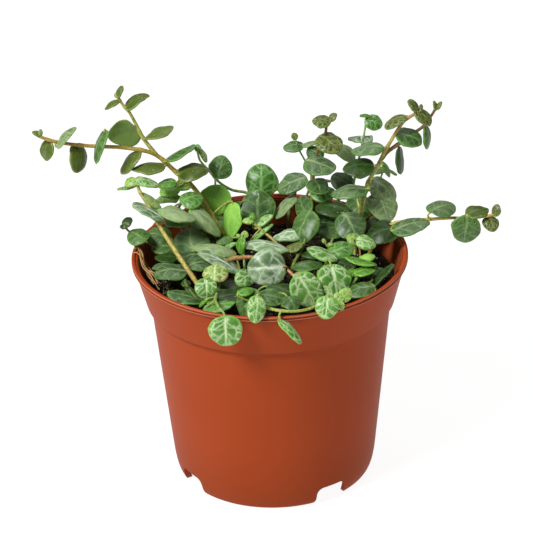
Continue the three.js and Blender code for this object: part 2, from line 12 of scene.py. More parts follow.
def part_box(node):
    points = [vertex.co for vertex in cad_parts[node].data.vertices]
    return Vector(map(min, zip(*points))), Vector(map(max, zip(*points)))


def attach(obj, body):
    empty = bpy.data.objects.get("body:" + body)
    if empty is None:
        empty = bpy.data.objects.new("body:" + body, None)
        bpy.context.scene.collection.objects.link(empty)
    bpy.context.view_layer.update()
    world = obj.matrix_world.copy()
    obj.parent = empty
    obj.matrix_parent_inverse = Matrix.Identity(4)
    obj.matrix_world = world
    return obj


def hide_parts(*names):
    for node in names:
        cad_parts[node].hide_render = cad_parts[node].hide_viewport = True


mm = 0.001
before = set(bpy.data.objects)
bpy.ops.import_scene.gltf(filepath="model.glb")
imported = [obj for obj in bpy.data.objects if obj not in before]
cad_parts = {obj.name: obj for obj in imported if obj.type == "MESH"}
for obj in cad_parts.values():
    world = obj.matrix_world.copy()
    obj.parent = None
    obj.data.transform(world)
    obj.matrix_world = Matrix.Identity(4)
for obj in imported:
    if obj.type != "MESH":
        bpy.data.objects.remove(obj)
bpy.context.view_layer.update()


def linear(hexColour, alpha=1.0):
    # sRGB hex to the linear values that shaders take
    channels = [int(hexColour[i:i + 2], 16) / 255 for i in (0, 2, 4)]
    return (*(c / 12.92 if c <= 0.04045 else ((c + 0.055) / 1.055) ** 2.4 for c in channels), alpha)


def add(tree, kind, values=(), out=0, **settings):
    # Adds a node and hands on one of its outputs, or all. The values are the numbers of its sockets, in order
    # or by name, or what feeds them; a list feeds a socket that takes several.
    node = tree.nodes.new(kind)
    for name, value in settings.items():
        setattr(node, name, value)
    for socket, value in values.items() if isinstance(values, dict) else enumerate(values):
        for feed in value if isinstance(value, list) else [value]:
            if isinstance(feed, bpy.types.NodeSocket):
                tree.links.new(feed, node.inputs[socket])
            else:
                node.inputs[socket].default_value = feed
    return node.outputs if out is None else node.outputs[out]


def newGeometryTree(name, inputs):
    tree = bpy.data.node_groups.new(name, "GeometryNodeTree")
    tree.interface.new_socket("Geometry", in_out="INPUT", socket_type="NodeSocketGeometry")
    for label, kind in inputs.items():
        tree.interface.new_socket(label, in_out="INPUT", socket_type="NodeSocket" + kind)
    tree.interface.new_socket("Geometry", in_out="OUTPUT", socket_type="NodeSocketGeometry")
    return tree, add(tree, "NodeGroupInput", out=None)


def newMaterial(name, **shaderValues):
    # the shader's own sockets get the values that are the same all over
    material = bpy.data.materials.new(name)
    material.use_nodes = True
    shader = material.node_tree.nodes["Principled BSDF"]
    for socket, value in shaderValues.items():
        shader.inputs[socket.replace("_", " ")].default_value = value
    return material, material.node_tree, shader


def newObject(name, points, edges=(), faces=(), columns=None):
    # columns: attribute name -> (type, one value for each point)
    mesh = bpy.data.meshes.new(name)
    mesh.from_pydata(points, edges, faces)
    fields = {"FLOAT_VECTOR": "vector", "FLOAT_COLOR": "color"}
    for label, (kind, values) in (columns or {}).items():
        flat = [x for v in values for x in v] if hasattr(values[0], "__len__") else values
        mesh.attributes.new(label, kind, "POINT").data.foreach_set(fields.get(kind, "value"), flat)
    mesh.shade_smooth()
    obj = bpy.data.objects.new(name, mesh)
    bpy.context.scene.collection.objects.link(obj)
    return obj


def fromBmesh(name, body):
    mesh = bpy.data.meshes.new(name)
    body.to_mesh(mesh)
    obj = bpy.data.objects.new(name, mesh)
    bpy.context.scene.collection.objects.link(obj)
    return obj


def applyTree(obj, tree, values):
    # inputs are set by identifier, before anything evaluates the object
    modifier = obj.modifiers.new(tree.name, "NODES")
    modifier.node_group = tree
    for label, value in values.items():
        modifier[tree.interface.items_tree[label].identifier] = value


def bake(obj, keep=()):
    # the evaluated result becomes a plain mesh, with only the attributes that its materials read
    graph = bpy.context.evaluated_depsgraph_get()
    obj.data = bpy.data.meshes.new_from_object(
        obj.evaluated_get(graph), preserve_all_data_layers=True, depsgraph=graph)
    obj.modifiers.clear()
    for label in [a.name for a in obj.data.attributes if not a.is_required and not a.is_internal]:
        if label not in keep and label not in ("material_index", "sharp_edge", "sharp_face"):
            obj.data.attributes.remove(obj.data.attributes[label])


def settle(piece, slot, *nodes):
    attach(piece, "root")
    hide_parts(*nodes)


def strewnPoints(tree, given, mark, lowTurn, highTurn):
    # random points on the faces that carry a mark, and a random turn for each
    marked = add(tree, "GeometryNodeInputNamedAttribute", {"Name": mark}, data_type="BOOLEAN")
    points = add(tree, "GeometryNodeDistributePointsOnFaces", {
        "Mesh": given["Geometry"], "Selection": marked, "Density": given["Per square metre"],
        "Seed": given["Seed"]}, out="Points")
    turn = add(tree, "FunctionNodeRandomValue", {0: lowTurn, 1: highTurn, "Seed": given["Seed"]},
               data_type="FLOAT_VECTOR")
    return points, add(tree, "FunctionNodeEulerToRotation", (turn,))


def laidOn(tree, points, body, **how):
    # real copies of a body, one on each point
    laid = add(tree, "GeometryNodeInstanceOnPoints", {"Points": points, "Instance": body, **how})
    return add(tree, "GeometryNodeRealizeInstances", (laid,))


def tubeAlong(tree, curve, sides, radius=1.0, scale=1.0):
    # a round skin along a curve, closed at its ends
    section = add(tree, "GeometryNodeCurvePrimitiveCircle", {"Resolution": sides, "Radius": radius})
    return add(tree, "GeometryNodeCurveToMesh", {
        "Curve": curve, "Profile Curve": section, "Scale": scale, "Fill Caps": True})


def addedTo(tree, finish, extra, body):
    # an extra with its finish, and the body that it belongs to
    painted = add(tree, "GeometryNodeSetMaterial", {"Geometry": extra, "Material": finish})
    return add(tree, "GeometryNodeJoinGeometry", ([painted, body],))


def mottled(tree, at, scale, detail, reach, colours):
    # two colours mixed by a cloudy pattern, and the pattern itself
    cloud = add(tree, "ShaderNodeTexNoise", {"Vector": at, "Scale": scale, "Detail": detail}, out="Fac")
    share = add(tree, "ShaderNodeMapRange", (cloud, *reach))
    both = {0: share, 6: linear(colours[0]), 7: linear(colours[1])}
    return add(tree, "ShaderNodeMix", both, out=2, data_type="RGBA"), cloud


def flecked(tree, colour, scale, detail, reach, shades):
    # a colour made darker and lighter by a fine pattern, and the pattern itself
    at = add(tree, "ShaderNodeTexCoord", out="Object")
    flecks = add(tree, "ShaderNodeTexNoise", {"Vector": at, "Scale": scale, "Detail": detail}, out="Fac")
    shade = add(tree, "ShaderNodeMapRange", (flecks, *reach, *shades))
    return add(tree, "ShaderNodeVectorMath", {0: colour, "Scale": shade}, operation="SCALE"), flecks


def speckled(tree, colour, at, mark, *masks):
    # a colour with small round marks, in a share of the cells of a pattern
    cells = add(tree, "ShaderNodeTexVoronoi", {"Vector": at, "Scale": mark["cells"]}, out=None)
    draw = add(tree, "ShaderNodeSeparateColor", (cells["Color"],))
    chosen = add(tree, "ShaderNodeMath", (draw, mark["share"]), operation="LESS_THAN")
    dot = add(tree, "ShaderNodeMapRange",
              (cells["Distance"], mark["radius"] / 2, mark["radius"], mark["strength"], 0.0))
    for mask in (chosen, *masks):
        dot = add(tree, "ShaderNodeMath", (dot, mask), operation="MULTIPLY")
    return add(tree, "ShaderNodeMix", {0: dot, 6: colour, 7: linear(mark["tint"])}, out=2, data_type="RGBA")


def dress(tree, shader, colour, relief, strength, depth):
    # gives a shader its colour and a fine relief of a depth in mm
    tree.links.new(colour, shader.inputs["Base Color"])
    bump = add(tree, "ShaderNodeBump", {"Height": relief, "Strength": strength, "Distance": depth * mm})
    tree.links.new(bump, shader.inputs["Normal"])


# The pot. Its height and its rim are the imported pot's.
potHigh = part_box("pot")[1]
potSizes = {
    "height": potHigh.z / mm, "rimRadius": potHigh.x / mm, "rimDepth": 2.0, "lipDepth": 2.2, "bead": 1.25,
    "beadDepth": 0.8, "beadSlant": 0.15, "lipBlend": 0.6, "groove": 1.1, "grooveHalf": 0.2,
    "grooveDepth": 0.3, "wall": 1.4, "innerShare": 0.6, "collarTop": 53.1, "collarFoot": 48.8,
    "collarFootHeight": 75.4, "collarStep": 0.6, "bodyTop": 47.2, "bodyTopHeight": 74.4, "bodyStep": 0.4,
    "bodyFoot": 40.5, "bodyFootHeight": 8, "foot": 36.7, "plateUnder": 7.8, "plate": 1.5, "segments": 192,
    "notchAngles": (33, 123, 213, 303), "notchWidth": 13, "notchRound": 2.8, "notchReach": 6, "notchBelow": 2,
    "notchSteps": 6, "drainRadius": 3, "drainRing": 24, "drainSides": 32, "edgeRound": 0.35, "edgeAngle": 50,
    "sharpAngle": 42,
    # corners of the foot: beyond its radius, height, rounding
    "footInside": ((2.7, 3.2, 1.2), (1.6, 1.2, 0.8), (0, 0, 0.4)),
    "footOutside": ((0, 0, 0.7), (1.9, 0.8, 1.4), (3, 3.6, 2.4)),
    # painted shade in the lip's groove, below the lip and below the collar: height, half width, strength
    "shadeLines": ((potHigh.z / mm - 1.1, 0.2, 0.6), (potHigh.z / mm - 2.2, 0.4, 0.75), (75.1, 0.45, 0.75)),
    # painted highlights along the top and the lower edge of the lip: height, half width, strength
    "highlightLines": ((potHigh.z / mm - 0.3, 0.2, 0.35), (potHigh.z / mm - 1.65, 0.2, 0.35)),
    # lime spots of about 1 mm on the inner wall, in cells of 3 mm
    "limeSpots": {"cells": 330, "radius": 0.2, "share": 0.22, "strength": 0.8, "tint": "d8cfc4"},
    # how strong the painted shade towards the foot is at the table, and how high it reaches
    "footShade": 0.22, "footShadeHeight": 34,
    "colours": {"dark": "9a3e1b", "light": "a54520", "paintedShade": "5c2c16", "innerDust": "84482a",
                "paintedHighlight": "d59a80"},
}


def collarInside(z):
    # radius of the inner wall of the collar at a height
    s = potSizes
    rise = (z - s["collarFootHeight"]) / (s["height"] - s["collarFootHeight"])
    return s["collarFoot"] + (s["collarTop"] - s["collarFoot"]) * rise - s["wall"]


def bodyInside(z):
    # radius of the inner wall below the step at a height
    s = potSizes
    rise = (z - s["bodyFootHeight"]) / (s["bodyTopHeight"] - s["bodyFootHeight"])
    return s["bodyFoot"] + (s["bodyTop"] - s["bodyFoot"]) * rise - s["wall"]


def roundedProfile(corners, steps=4, most=0.48):
    # corners: (radius, height, how far along its edges the corner is rounded, at most a share of the edge)
    line = []
    for i, (r, z, reach) in enumerate(corners):
        here = Vector((r, z))
        if not reach or i in (0, len(corners) - 1):
            line.append(here)
            continue
        before, after = Vector(corners[i - 1][:2]) - here, Vector(corners[i + 1][:2]) - here
        start = here + before.normalized() * min(reach, before.length * most)
        end = here + after.normalized() * min(reach, after.length * most)
        for k in range(steps + 1):
            t = k / steps
            line.append(start * (1 - t) ** 2 + here * 2 * t * (1 - t) + end * t * t)
    return line


def revolved(profile, segments):
    # a closed body from a profile that starts and ends on the axis
    points = [(0, 0, profile[0].y * mm), (0, 0, profile[-1].y * mm)]
    rings = profile[1:-1]
    for corner in rings:
        for k in range(segments):
            angle = 2 * math.pi * k / segments
            points.append((corner.x * mm * math.cos(angle), corner.x * mm * math.sin(angle), corner.y * mm))
    faces = []
    for k in range(segments):
        after = (k + 1) % segments
        faces.append((0, 2 + after, 2 + k))
        for ring in range(len(rings) - 1):
            low, high = 2 + ring * segments, 2 + (ring + 1) * segments
            faces.append((low + k, low + after, high + after, high + k))
        last = 2 + (len(rings) - 1) * segments
        faces.append((1, last + k, last + after))
    return points, faces


def isWithin(place, outer):
    # whether a place is on the pot's inner wall, above its foot and below its lip
    radius = math.hypot(place.x, place.y)
    for (lowRadius, low), (highRadius, high) in zip(outer, outer[1:]):
        if low < place.z <= high - potSizes["lipDepth"] * (high == outer[-1][1]):
            wall = lowRadius + (highRadius - lowRadius) * (place.z - low) / (high - low)
            return radius < wall - potSizes["wall"] * potSizes["innerShare"]
    return False


def potProfile():
    # The pot's section from the axis, under its plate, round its foot, up its outside and down its inside.
    s = potSizes
    height, rim, wall, foot = s["height"], s["rimRadius"], s["wall"], s["foot"]
    lipFoot, groove, beadFoot = height - s["rimDepth"], height - s["groove"], height - s["beadDepth"]
    beadRadius, slant, inner = rim - s["bead"], s["beadSlant"], collarInside(height)
    plateTop = s["plateUnder"] + s["plate"]
    return roundedProfile([
        (0, s["plateUnder"], 0), (s["bodyFoot"] - wall, s["plateUnder"], 0.5),
        *((foot + beyond - wall, z, soft) for beyond, z, soft in s["footInside"]),
        *((foot + beyond, z, soft) for beyond, z, soft in s["footOutside"]),
        (s["bodyFoot"], s["bodyFootHeight"], 4), (s["bodyTop"], s["bodyTopHeight"], 0.35),
        (s["collarFoot"], s["collarFootHeight"], 0.45), (s["collarTop"], lipFoot, 0.2),
        (rim, lipFoot + 0.1, 0.25), (rim, groove - s["grooveHalf"], 0.1),
        (rim - s["grooveDepth"], groove, 0.05), (rim, groove + s["grooveHalf"], 0.1), (rim, height, 0.45),
        (beadRadius, height, 0.4), (beadRadius - slant, beadFoot, 0.15),
        (inner - slant, beadFoot - slant, 0.3),
        (collarInside(lipFoot - s["lipBlend"]), lipFoot - s["lipBlend"], 0.4),
        (collarInside(s["collarFootHeight"]), s["collarFootHeight"] + s["collarStep"], 0.6),
        (s["bodyTop"] - wall, s["bodyTopHeight"] + s["bodyStep"], 0.5),
        (bodyInside(plateTop), plateTop, 0.8), (0, plateTop, 0),
    ])


def potCutter():
    # what is cut from the pot: the notches in its foot and the drain holes in its plate
    s = potSizes
    half, top, soft, reach = s["notchWidth"] / 2, s["plateUnder"], s["notchRound"], s["notchReach"]
    quarter = [math.pi / 2 * k / s["notchSteps"] for k in range(s["notchSteps"] + 1)]
    outline = [(half + soft, -s["notchBelow"]), (half + soft, 0)]
    outline += [(half + soft * (1 - math.sin(t)), soft * (1 - math.cos(t))) for t in quarter]
    outline += [(half - soft * (1 - math.cos(t)), top - soft * (1 - math.sin(t))) for t in quarter]
    outline += [(-x, z) for x, z in reversed(outline)]
    cutter = bmesh.new()
    for degrees in s["notchAngles"]:
        angle = math.radians(degrees)
        outward = Vector((math.sin(angle), -math.cos(angle), 0))
        turn = outward.to_track_quat("-Y", "Z").to_matrix()
        notch = bmesh.new()
        face = notch.faces.new([notch.verts.new((x * mm, -reach * mm, z * mm)) for x, z in outline])
        pushed = bmesh.ops.extrude_face_region(notch, geom=[face])["geom"]
        far = [vertex for vertex in pushed if isinstance(vertex, bmesh.types.BMVert)]
        bmesh.ops.translate(notch, vec=(0, 2 * reach * mm, 0), verts=far)
        bmesh.ops.recalc_face_normals(notch, faces=notch.faces)
        bmesh.ops.rotate(notch, cent=(0, 0, 0), matrix=turn, verts=notch.verts)
        bmesh.ops.translate(notch, vec=outward * s["foot"] * mm, verts=notch.verts)
        made = bpy.data.meshes.new("notch")
        notch.to_mesh(made)
        cutter.from_mesh(made)
        drain = bmesh.ops.create_cone(
            cutter, cap_ends=True, segments=s["drainSides"], radius1=s["drainRadius"] * mm,
            radius2=s["drainRadius"] * mm, depth=4 * (s["plateUnder"] + s["plate"]) * mm)
        bmesh.ops.translate(cutter, vec=outward * s["drainRing"] * mm, verts=drain["verts"])
    return fromBmesh("potCutter", cutter)


def makePot():
    s = potSizes
    points, faces = revolved(potProfile(), s["segments"])
    obj = newObject("nurseryPot", points, faces=faces)
    tool = potCutter()
    cut = obj.modifiers.new("notches", "BOOLEAN")
    cut.object, cut.operation, cut.solver = tool, "DIFFERENCE", "EXACT"
    soften = obj.modifiers.new("softEdges", "BEVEL")
    soften.width, soften.segments = s["edgeRound"] * mm, 2
    soften.limit_method, soften.angle_limit = "ANGLE", math.radians(s["edgeAngle"])
    bake(obj)
    bpy.data.objects.remove(tool)
    obj.data.shade_smooth()
    obj.data.set_sharp_from_angle(angle=math.radians(s["sharpAngle"]))
    outer = [(s["bodyFoot"], s["bodyFootHeight"]), (s["bodyTop"], s["bodyTopHeight"]),
             (s["collarFoot"], s["collarFootHeight"]), (s["collarTop"], s["height"])]
    within = [float(isWithin(v.co / mm, outer)) for v in obj.data.vertices]
    obj.data.attributes.new("innerWall", "FLOAT", "POINT").data.foreach_set("value", within)
    obj.data.materials.append(mouldedPolypropylene())
    settle(obj, "pot_plastic", "pot")
    print("pot: made")


def ringMark(tree, height, level, half, strength):
    # as strong as given up to half its width from a level on the pot, and 0 elsewhere
    near = add(tree, "ShaderNodeMath", (height, level * mm, half * mm), operation="COMPARE")
    return add(tree, "ShaderNodeMath", (near, strength), operation="MULTIPLY")


def mouldedPolypropylene():
    # Injection-moulded polypropylene: an even satin skin with a soft wide highlight, a little light carried
    # inside it, and the faint turning marks and grain of the mould. Painted shade darkens the angles of its
    # steps and its foot, and painted highlights lie along the edges of its lip.
    s = potSizes
    tints = {name: linear(colour) for name, colour in s["colours"].items()}
    material, tree, shader = newMaterial(
        "mouldedPolypropylene", Roughness=0.5, IOR=1.49, Specular_IOR_Level=0.06, Subsurface_Weight=0.05,
        Subsurface_Radius=(1.0, 0.35, 0.2), Subsurface_Scale=1.2 * mm)
    at = add(tree, "ShaderNodeTexCoord", out="Object")
    # the tone drifts in patches of about 35 mm
    cloud = add(tree, "ShaderNodeTexNoise", {"Vector": at, "Scale": 28, "Detail": 3}, out="Fac")
    skin = add(tree, "ShaderNodeMix", {0: cloud, 6: tints["dark"], 7: tints["light"]}, out=2,
               data_type="RGBA")
    # peat film on the inner wall, painted shade towards the foot, and painted shade lines in the lip's groove
    # and below the lip and the collar
    within = add(tree, "ShaderNodeAttribute", out="Fac", attribute_name="innerWall")
    dusty = add(tree, "ShaderNodeTexNoise", {"Vector": at, "Scale": 260, "Detail": 5, "Roughness": 0.65},
                out="Fac")
    smear = add(tree, "ShaderNodeMapRange", (dusty, 0.38, 0.66, 0.15, 0.8))
    filmAndShade = add(tree, "ShaderNodeMath", (within, smear), operation="MULTIPLY")
    height = add(tree, "ShaderNodeSeparateXYZ", (at,), out="Z")
    # painted shade: the skin darkens towards the foot
    low = add(tree, "ShaderNodeMapRange", (height, 0.0, s["footShadeHeight"] * mm, s["footShade"], 0.0),
              interpolation_type="SMOOTHSTEP")
    # painted shade lines below the lip, in its groove and below the collar, joined with the peat film
    for mark in (low, *(ringMark(tree, height, *line) for line in s["shadeLines"])):
        filmAndShade = add(tree, "ShaderNodeMath", (filmAndShade, mark), operation="MAXIMUM")
    # outside, the colour of the painted shade; inside, the colour of the peat dust
    dustAndShade = add(tree, "ShaderNodeMix", {0: within, 6: tints["paintedShade"], 7: tints["innerDust"]}, out=2,
               data_type="RGBA")
    colour = add(tree, "ShaderNodeMix", {0: filmAndShade, 6: skin, 7: dustAndShade}, out=2, data_type="RGBA")
    colour = speckled(tree, colour, at, s["limeSpots"], within)
    # painted highlights along the edges of the lip
    for line in s["highlightLines"]:
        paintedHighlight = {0: ringMark(tree, height, *line), 6: colour, 7: tints["paintedHighlight"]}
        colour = add(tree, "ShaderNodeMix", paintedHighlight, out=2, data_type="RGBA")
    # grain of 0.7 mm, and turning marks 1 mm apart
    grain = add(tree, "ShaderNodeTexNoise", {"Vector": at, "Scale": 1400, "Detail": 2}, out="Fac")
    rings = add(tree, "ShaderNodeMapping", {"Vector": at, "Scale": (20, 20, 900)})
    turned = add(tree, "ShaderNodeTexNoise", {"Vector": rings, "Scale": 1, "Detail": 2}, out="Fac")
    relief = add(tree, "ShaderNodeMath", (turned, 0.6, grain), operation="MULTIPLY_ADD")
    dress(tree, shader, colour, relief, strength=0.35, depth=0.1)
    return material


# The peat and what lies on it
peatSizes = {
    "top": 83.5, "gap": 0.7, "segments": 144, "ringStep": 1.1, "edgeDrop": 1.2, "topLayer": 1, "fallen": 0.4,
    # how high the top swells, how far it sags towards the wall, and the scales of its patterns
    "swell": 1.4, "swellScale": 45, "lump": 0.7, "lumpScale": 210, "sag": 1.6, "sagFrom": 40, "sagOver": 8,
    "crumb": (0.35, 1.15), "crumbPerSquareMetre": 620000,
    "perlite": (0.2, 0.55), "perlitePerSquareMetre": 16000,
    "moss": (0.3, 0.8), "mossPerSquareMetre": 420000, "mossBeyond": 24, "mossBand": 13, "mossScale": 95,
    "mossOver": -0.08,
    "fibresPerSquareMetre": 12000, "fibreLength": 6, "fibreRadius": 0.13, "fibreCurl": 7,
    "tangleRoots": 8, "tangleSteps": 14, "tangleSeed": 8, "tangleRadius": 0.27,
    # each root of the tangle: where it starts and ends round the pot in degrees, its heights, how far it lies
    # from the wall at its top and its foot, and where its waves begin
    "tangle": {"first": (-97, -88), "last": (-86, -76), "high": (90.5, 95.5), "low": (83, 88),
               "near": (0.5, 1.0), "far": (3, 6.5), "phase": (0, 6)},
    "fall": 1.3, "riseWave": 0.5, "riseTurns": 9, "depthWave": 0.35, "depthTurns": 8,
    # every second one hangs over the rim: degrees aside, ends outside and inside it, and where it goes on
    "hangTurn": 2, "hangOutside": (-0.4, 0.2), "hangInside": (0.3, 0.35), "hangBelow": 0.5, "hangNear": 0.35,
}


def lumpyBall(name, detail, roughness, seed):
    # a small stone-like body of 1 mm radius, scaled where it is scattered
    ball = bmesh.new()
    bmesh.ops.create_icosphere(ball, subdivisions=detail, radius=mm)
    draw = random.Random(seed)
    for vertex in ball.verts:
        vertex.co *= 1 + draw.uniform(-roughness, roughness)
    return fromBmesh(name, ball)


def scatterTree():
    # strews one small body over the faces that carry a mark
    tree, given = newGeometryTree("strewOnPeat", {
        "Body": "Object", "On": "String", "Per square metre": "Float", "Smallest": "Float",
        "Largest": "Float", "Seed": "Int", "Finish": "Material"})
    seed = given["Seed"]
    points, rotation = strewnPoints(tree, given, given["On"], (0, 0, 0), (6.28, 6.28, 6.28))
    size = add(tree, "FunctionNodeRandomValue", {2: given["Smallest"], 3: given["Largest"], "Seed": seed},
               out=1)
    stretch = add(tree, "FunctionNodeRandomValue", {0: (0.6, 0.6, 0.35), 1: (1.4, 1.0, 0.9), "Seed": seed},
                  data_type="FLOAT_VECTOR")
    scale = add(tree, "ShaderNodeVectorMath", {0: stretch, "Scale": size}, operation="SCALE")
    body = add(tree, "GeometryNodeObjectInfo", {"Object": given["Body"]}, out="Geometry")
    strewn = laidOn(tree, points, body, Rotation=rotation, Scale=scale)
    add(tree, "NodeGroupOutput", (addedTo(tree, given["Finish"], strewn, given["Geometry"]),), out=None)
    return tree


def fibreTree():
    # short curled root fibres that lie on the faces marked for them
    tree, given = newGeometryTree("rootFibres", {
        "Per square metre": "Float", "Length": "Float", "Radius": "Float", "Curl": "Float", "Seed": "Int",
        "Finish": "Material"})
    points, rotation = strewnPoints(tree, given, "rootGround", (-0.4, -0.5, 0), (0.4, 0.2, 6.28))
    line = add(tree, "GeometryNodeCurvePrimitiveLine", {"Start": (-0.5, 0, 0), "End": (0.5, 0, 0)})
    even = add(tree, "GeometryNodeResampleCurve", {"Curve": line, "Count": 9})
    laid = laidOn(tree, points, even, Rotation=rotation, Scale=given["Length"])
    where = add(tree, "GeometryNodeInputPosition")
    wave = add(tree, "ShaderNodeTexNoise", {"Vector": where, "Scale": 230, "Detail": 1}, out="Color")
    centred = add(tree, "ShaderNodeVectorMath", (wave, (0.5, 0.5, 0.42)), operation="SUBTRACT")
    shift = add(tree, "ShaderNodeVectorMath", {0: centred, "Scale": given["Curl"]}, operation="SCALE")
    curled = add(tree, "GeometryNodeSetPosition", {"Geometry": laid, "Offset": shift})
    fibres = tubeAlong(tree, curled, 4, given["Radius"])
    add(tree, "NodeGroupOutput", (addedTo(tree, given["Finish"], fibres, given["Geometry"]),), out=None)
    return tree


def strandTree():
    # thin tubes along the edges of another object, added to the piece
    tree, given = newGeometryTree("strands", {"Strands": "Object", "Radius": "Float", "Finish": "Material"})
    taken = add(tree, "GeometryNodeObjectInfo", {"Object": given["Strands"]}, out="Geometry")
    strands = tubeAlong(tree, add(tree, "GeometryNodeMeshToCurve", (taken,)), 6, given["Radius"])
    add(tree, "NodeGroupOutput", (addedTo(tree, given["Finish"], strands, given["Geometry"]),), out=None)
    return tree


def wallRoots():
    # a tangle of dry roots that climbs the inner wall at the left of the pot, as open lines
    s = peatSizes
    rng = random.Random(s["tangleSeed"])
    points, edges = [], []
    rim = potSizes["height"]
    for root in range(s["tangleRoots"]):
        first, last, high, low, near, far, phase = (rng.uniform(*reach) for reach in s["tangle"].values())
        if root % 2:
            turn = math.radians(first - s["hangTurn"])
            for radius, (beyond, above) in (
                    (potSizes["rimRadius"], s["hangOutside"]), (collarInside(rim), s["hangInside"])):
                reach, z = radius + beyond, rim + above
                points.append((reach * math.sin(turn) * mm, -reach * math.cos(turn) * mm, z * mm))
            edges += [(len(points) - 2, len(points) - 1), (len(points) - 1, len(points))]
            high, near = rim - s["hangBelow"], s["hangNear"]
        for k in range(s["tangleSteps"]):
            t = k / (s["tangleSteps"] - 1)
            z = high + (low - high) * t + s["riseWave"] * math.sin(phase + s["riseTurns"] * t)
            turn = math.radians(first + (last - first) * t)
            wave = s["depthWave"] * (1 + math.sin(2 * phase + s["depthTurns"] * t))
            reach = collarInside(z) - near - (far - near) * t ** s["fall"] - wave
            if k:
                edges.append((len(points) - 1, len(points)))
            points.append((reach * math.sin(turn) * mm, -reach * math.cos(turn) * mm, z * mm))
    return newObject("wallRootLines", points, edges=edges)


def makePeat():
    s, p = peatSizes, potSizes
    floor = p["plateUnder"] + p["plate"] + s["gap"]
    edge = collarInside(s["top"]) - s["gap"]
    top = [Vector((edge - k * s["ringStep"], s["top"])) for k in range(1, int(edge / s["ringStep"]))]
    profile = [Vector(corner) for corner in (
        (0, floor), (bodyInside(floor) - s["gap"], floor),
        (p["bodyTop"] - p["wall"] - s["gap"], p["bodyTopHeight"] + p["bodyStep"]),
        (collarInside(p["collarFootHeight"]) - s["gap"], p["collarFootHeight"] + p["collarStep"]),
        (edge, s["top"] - s["edgeDrop"]))] + top + [Vector((0, s["top"]))]
    points, faces = revolved(profile, s["segments"])
    points = [Vector(point) for point in points]
    opened, rooted, mossed = [], [], []
    for point in points:
        radius = math.hypot(point.x, point.y) / mm
        onTop = point.z > (s["top"] - s["topLayer"]) * mm
        opened.append(onTop)
        rooted.append(onTop and radius < edge - s["fibreLength"])
        patchy = noise.noise(point * s["mossScale"]) > s["mossOver"]
        mossed.append(onTop and patchy and point.x < -s["mossBeyond"] * mm and radius > edge - s["mossBand"])
        if onTop:
            swell = noise.noise(point * s["swellScale"]) * s["swell"]
            lumps = noise.noise(point * s["lumpScale"]) * s["lump"]
            sag = s["sag"] * max(0.0, (radius - s["sagFrom"]) / s["sagOver"]) ** 2
            point.z += (swell + lumps - sag - s["fallen"]) * mm
    obj = newObject("pottingPeat", points, faces=faces, columns={
        "openTop": ("BOOLEAN", opened), "rootGround": ("BOOLEAN", rooted),
        "mossGround": ("BOOLEAN", mossed)})
    peat = darkPeat()
    obj.data.materials.append(peat)
    crumb = lumpyBall("crumb", detail=1, roughness=0.25, seed=3)
    stone = lumpyBall("perlitePiece", detail=2, roughness=0.16, seed=5)
    strew = scatterTree()
    for body, kind, mark, seed, finish in (
            (crumb, "crumb", "openTop", 11, peat), (stone, "perlite", "openTop", 4, expandedPerlite()),
            (crumb, "moss", "mossGround", 9, driedMoss())):
        applyTree(obj, strew, {
            "Body": body, "On": mark, "Per square metre": s[kind + "PerSquareMetre"], "Smallest": s[kind][0],
            "Largest": s[kind][1], "Seed": seed, "Finish": finish})
    applyTree(obj, fibreTree(), {
        "Per square metre": s["fibresPerSquareMetre"], "Length": s["fibreLength"] * mm, "Seed": 21,
        "Radius": s["fibreRadius"] * mm, "Curl": s["fibreCurl"] * mm, "Finish": rootFibre("damp", "715839")})
    lines = wallRoots()
    applyTree(obj, strandTree(), {
        "Strands": lines, "Radius": s["tangleRadius"] * mm, "Finish": rootFibre("dry", "b98f5c")})
    bake(obj)
    for helper in (crumb, stone, lines):
        bpy.data.objects.remove(helper)
    settle(obj, "peat", "soil")
    print("peat: made,", len(obj.data.polygons), "faces")


def darkPeat():
    # Milled peat: matt, nearly black where wet, with browner crumbs of about 2 mm.
    material, tree, shader = newMaterial("darkPeat", Roughness=0.95, Specular_IOR_Level=0.25)
    at = add(tree, "ShaderNodeTexCoord", out="Object")
    colour, crumbs = mottled(tree, at, scale=420, detail=4, reach=(0.38, 0.68), colours=("14110e", "35291d"))
    dress(tree, shader, colour, crumbs, strength=0.6, depth=0.5)
    return material


def driedMoss():
    # Thin moss on old peat: matt, dull grey-green with straw-coloured dry tips, in tufts of about 1.5 mm.
    material, tree, shader = newMaterial("driedMoss", Roughness=0.95, Specular_IOR_Level=0.2)
    at = add(tree, "ShaderNodeTexCoord", out="Object")
    colour = mottled(tree, at, scale=600, detail=2, reach=(0.4, 0.62), colours=("3c3a24", "7d7a58"))[0]
    tree.links.new(colour, shader.inputs["Base Color"])
    return material


def expandedPerlite():
    # Expanded perlite: glass blown up by heat into a chalky, matt, off-white foam.
    return newMaterial("expandedPerlite", Base_Color=linear("c9c2b2"), Roughness=0.85)[0]


def rootFibre(state, colour):
    # Root fibre, matt: pale tan where it dried on the wall, brown where it lies damp in the peat.
    return newMaterial(state + "RootFibre", Base_Color=linear(colour), Roughness=0.8)[0]


# The plant is laid out on a drawing seen from the front and from above. A place is (across, up, back): to the
# right of and above the middle of the drawing, and behind the pot's axis.
viewer = {"pitch": 27, "roll": -1.6, "distance": 1000, "centre": (-1.4, 0, 87.9)}
pitch, roll = math.radians(viewer["pitch"]), math.radians(viewer["roll"])
drawingRight = Vector((math.cos(roll), math.sin(roll) * math.sin(pitch), math.sin(roll) * math.cos(pitch)))
drawingUp = Vector((-math.sin(roll), math.cos(roll) * math.sin(pitch), math.cos(roll) * math.cos(pitch)))
towardsViewer = Vector((0, -math.cos(pitch), math.sin(pitch)))
eye = Vector(viewer["centre"]) + towardsViewer * viewer["distance"]


def placeOf(across, up, back):
    sight = drawingRight * across + drawingUp * up - towardsViewer * viewer["distance"]
    return eye + sight * ((back - eye.y) / sight.y)


def directionOf(degrees):
    angle = math.radians(degrees)
    return drawingRight * math.cos(angle) + drawingUp * math.sin(angle)


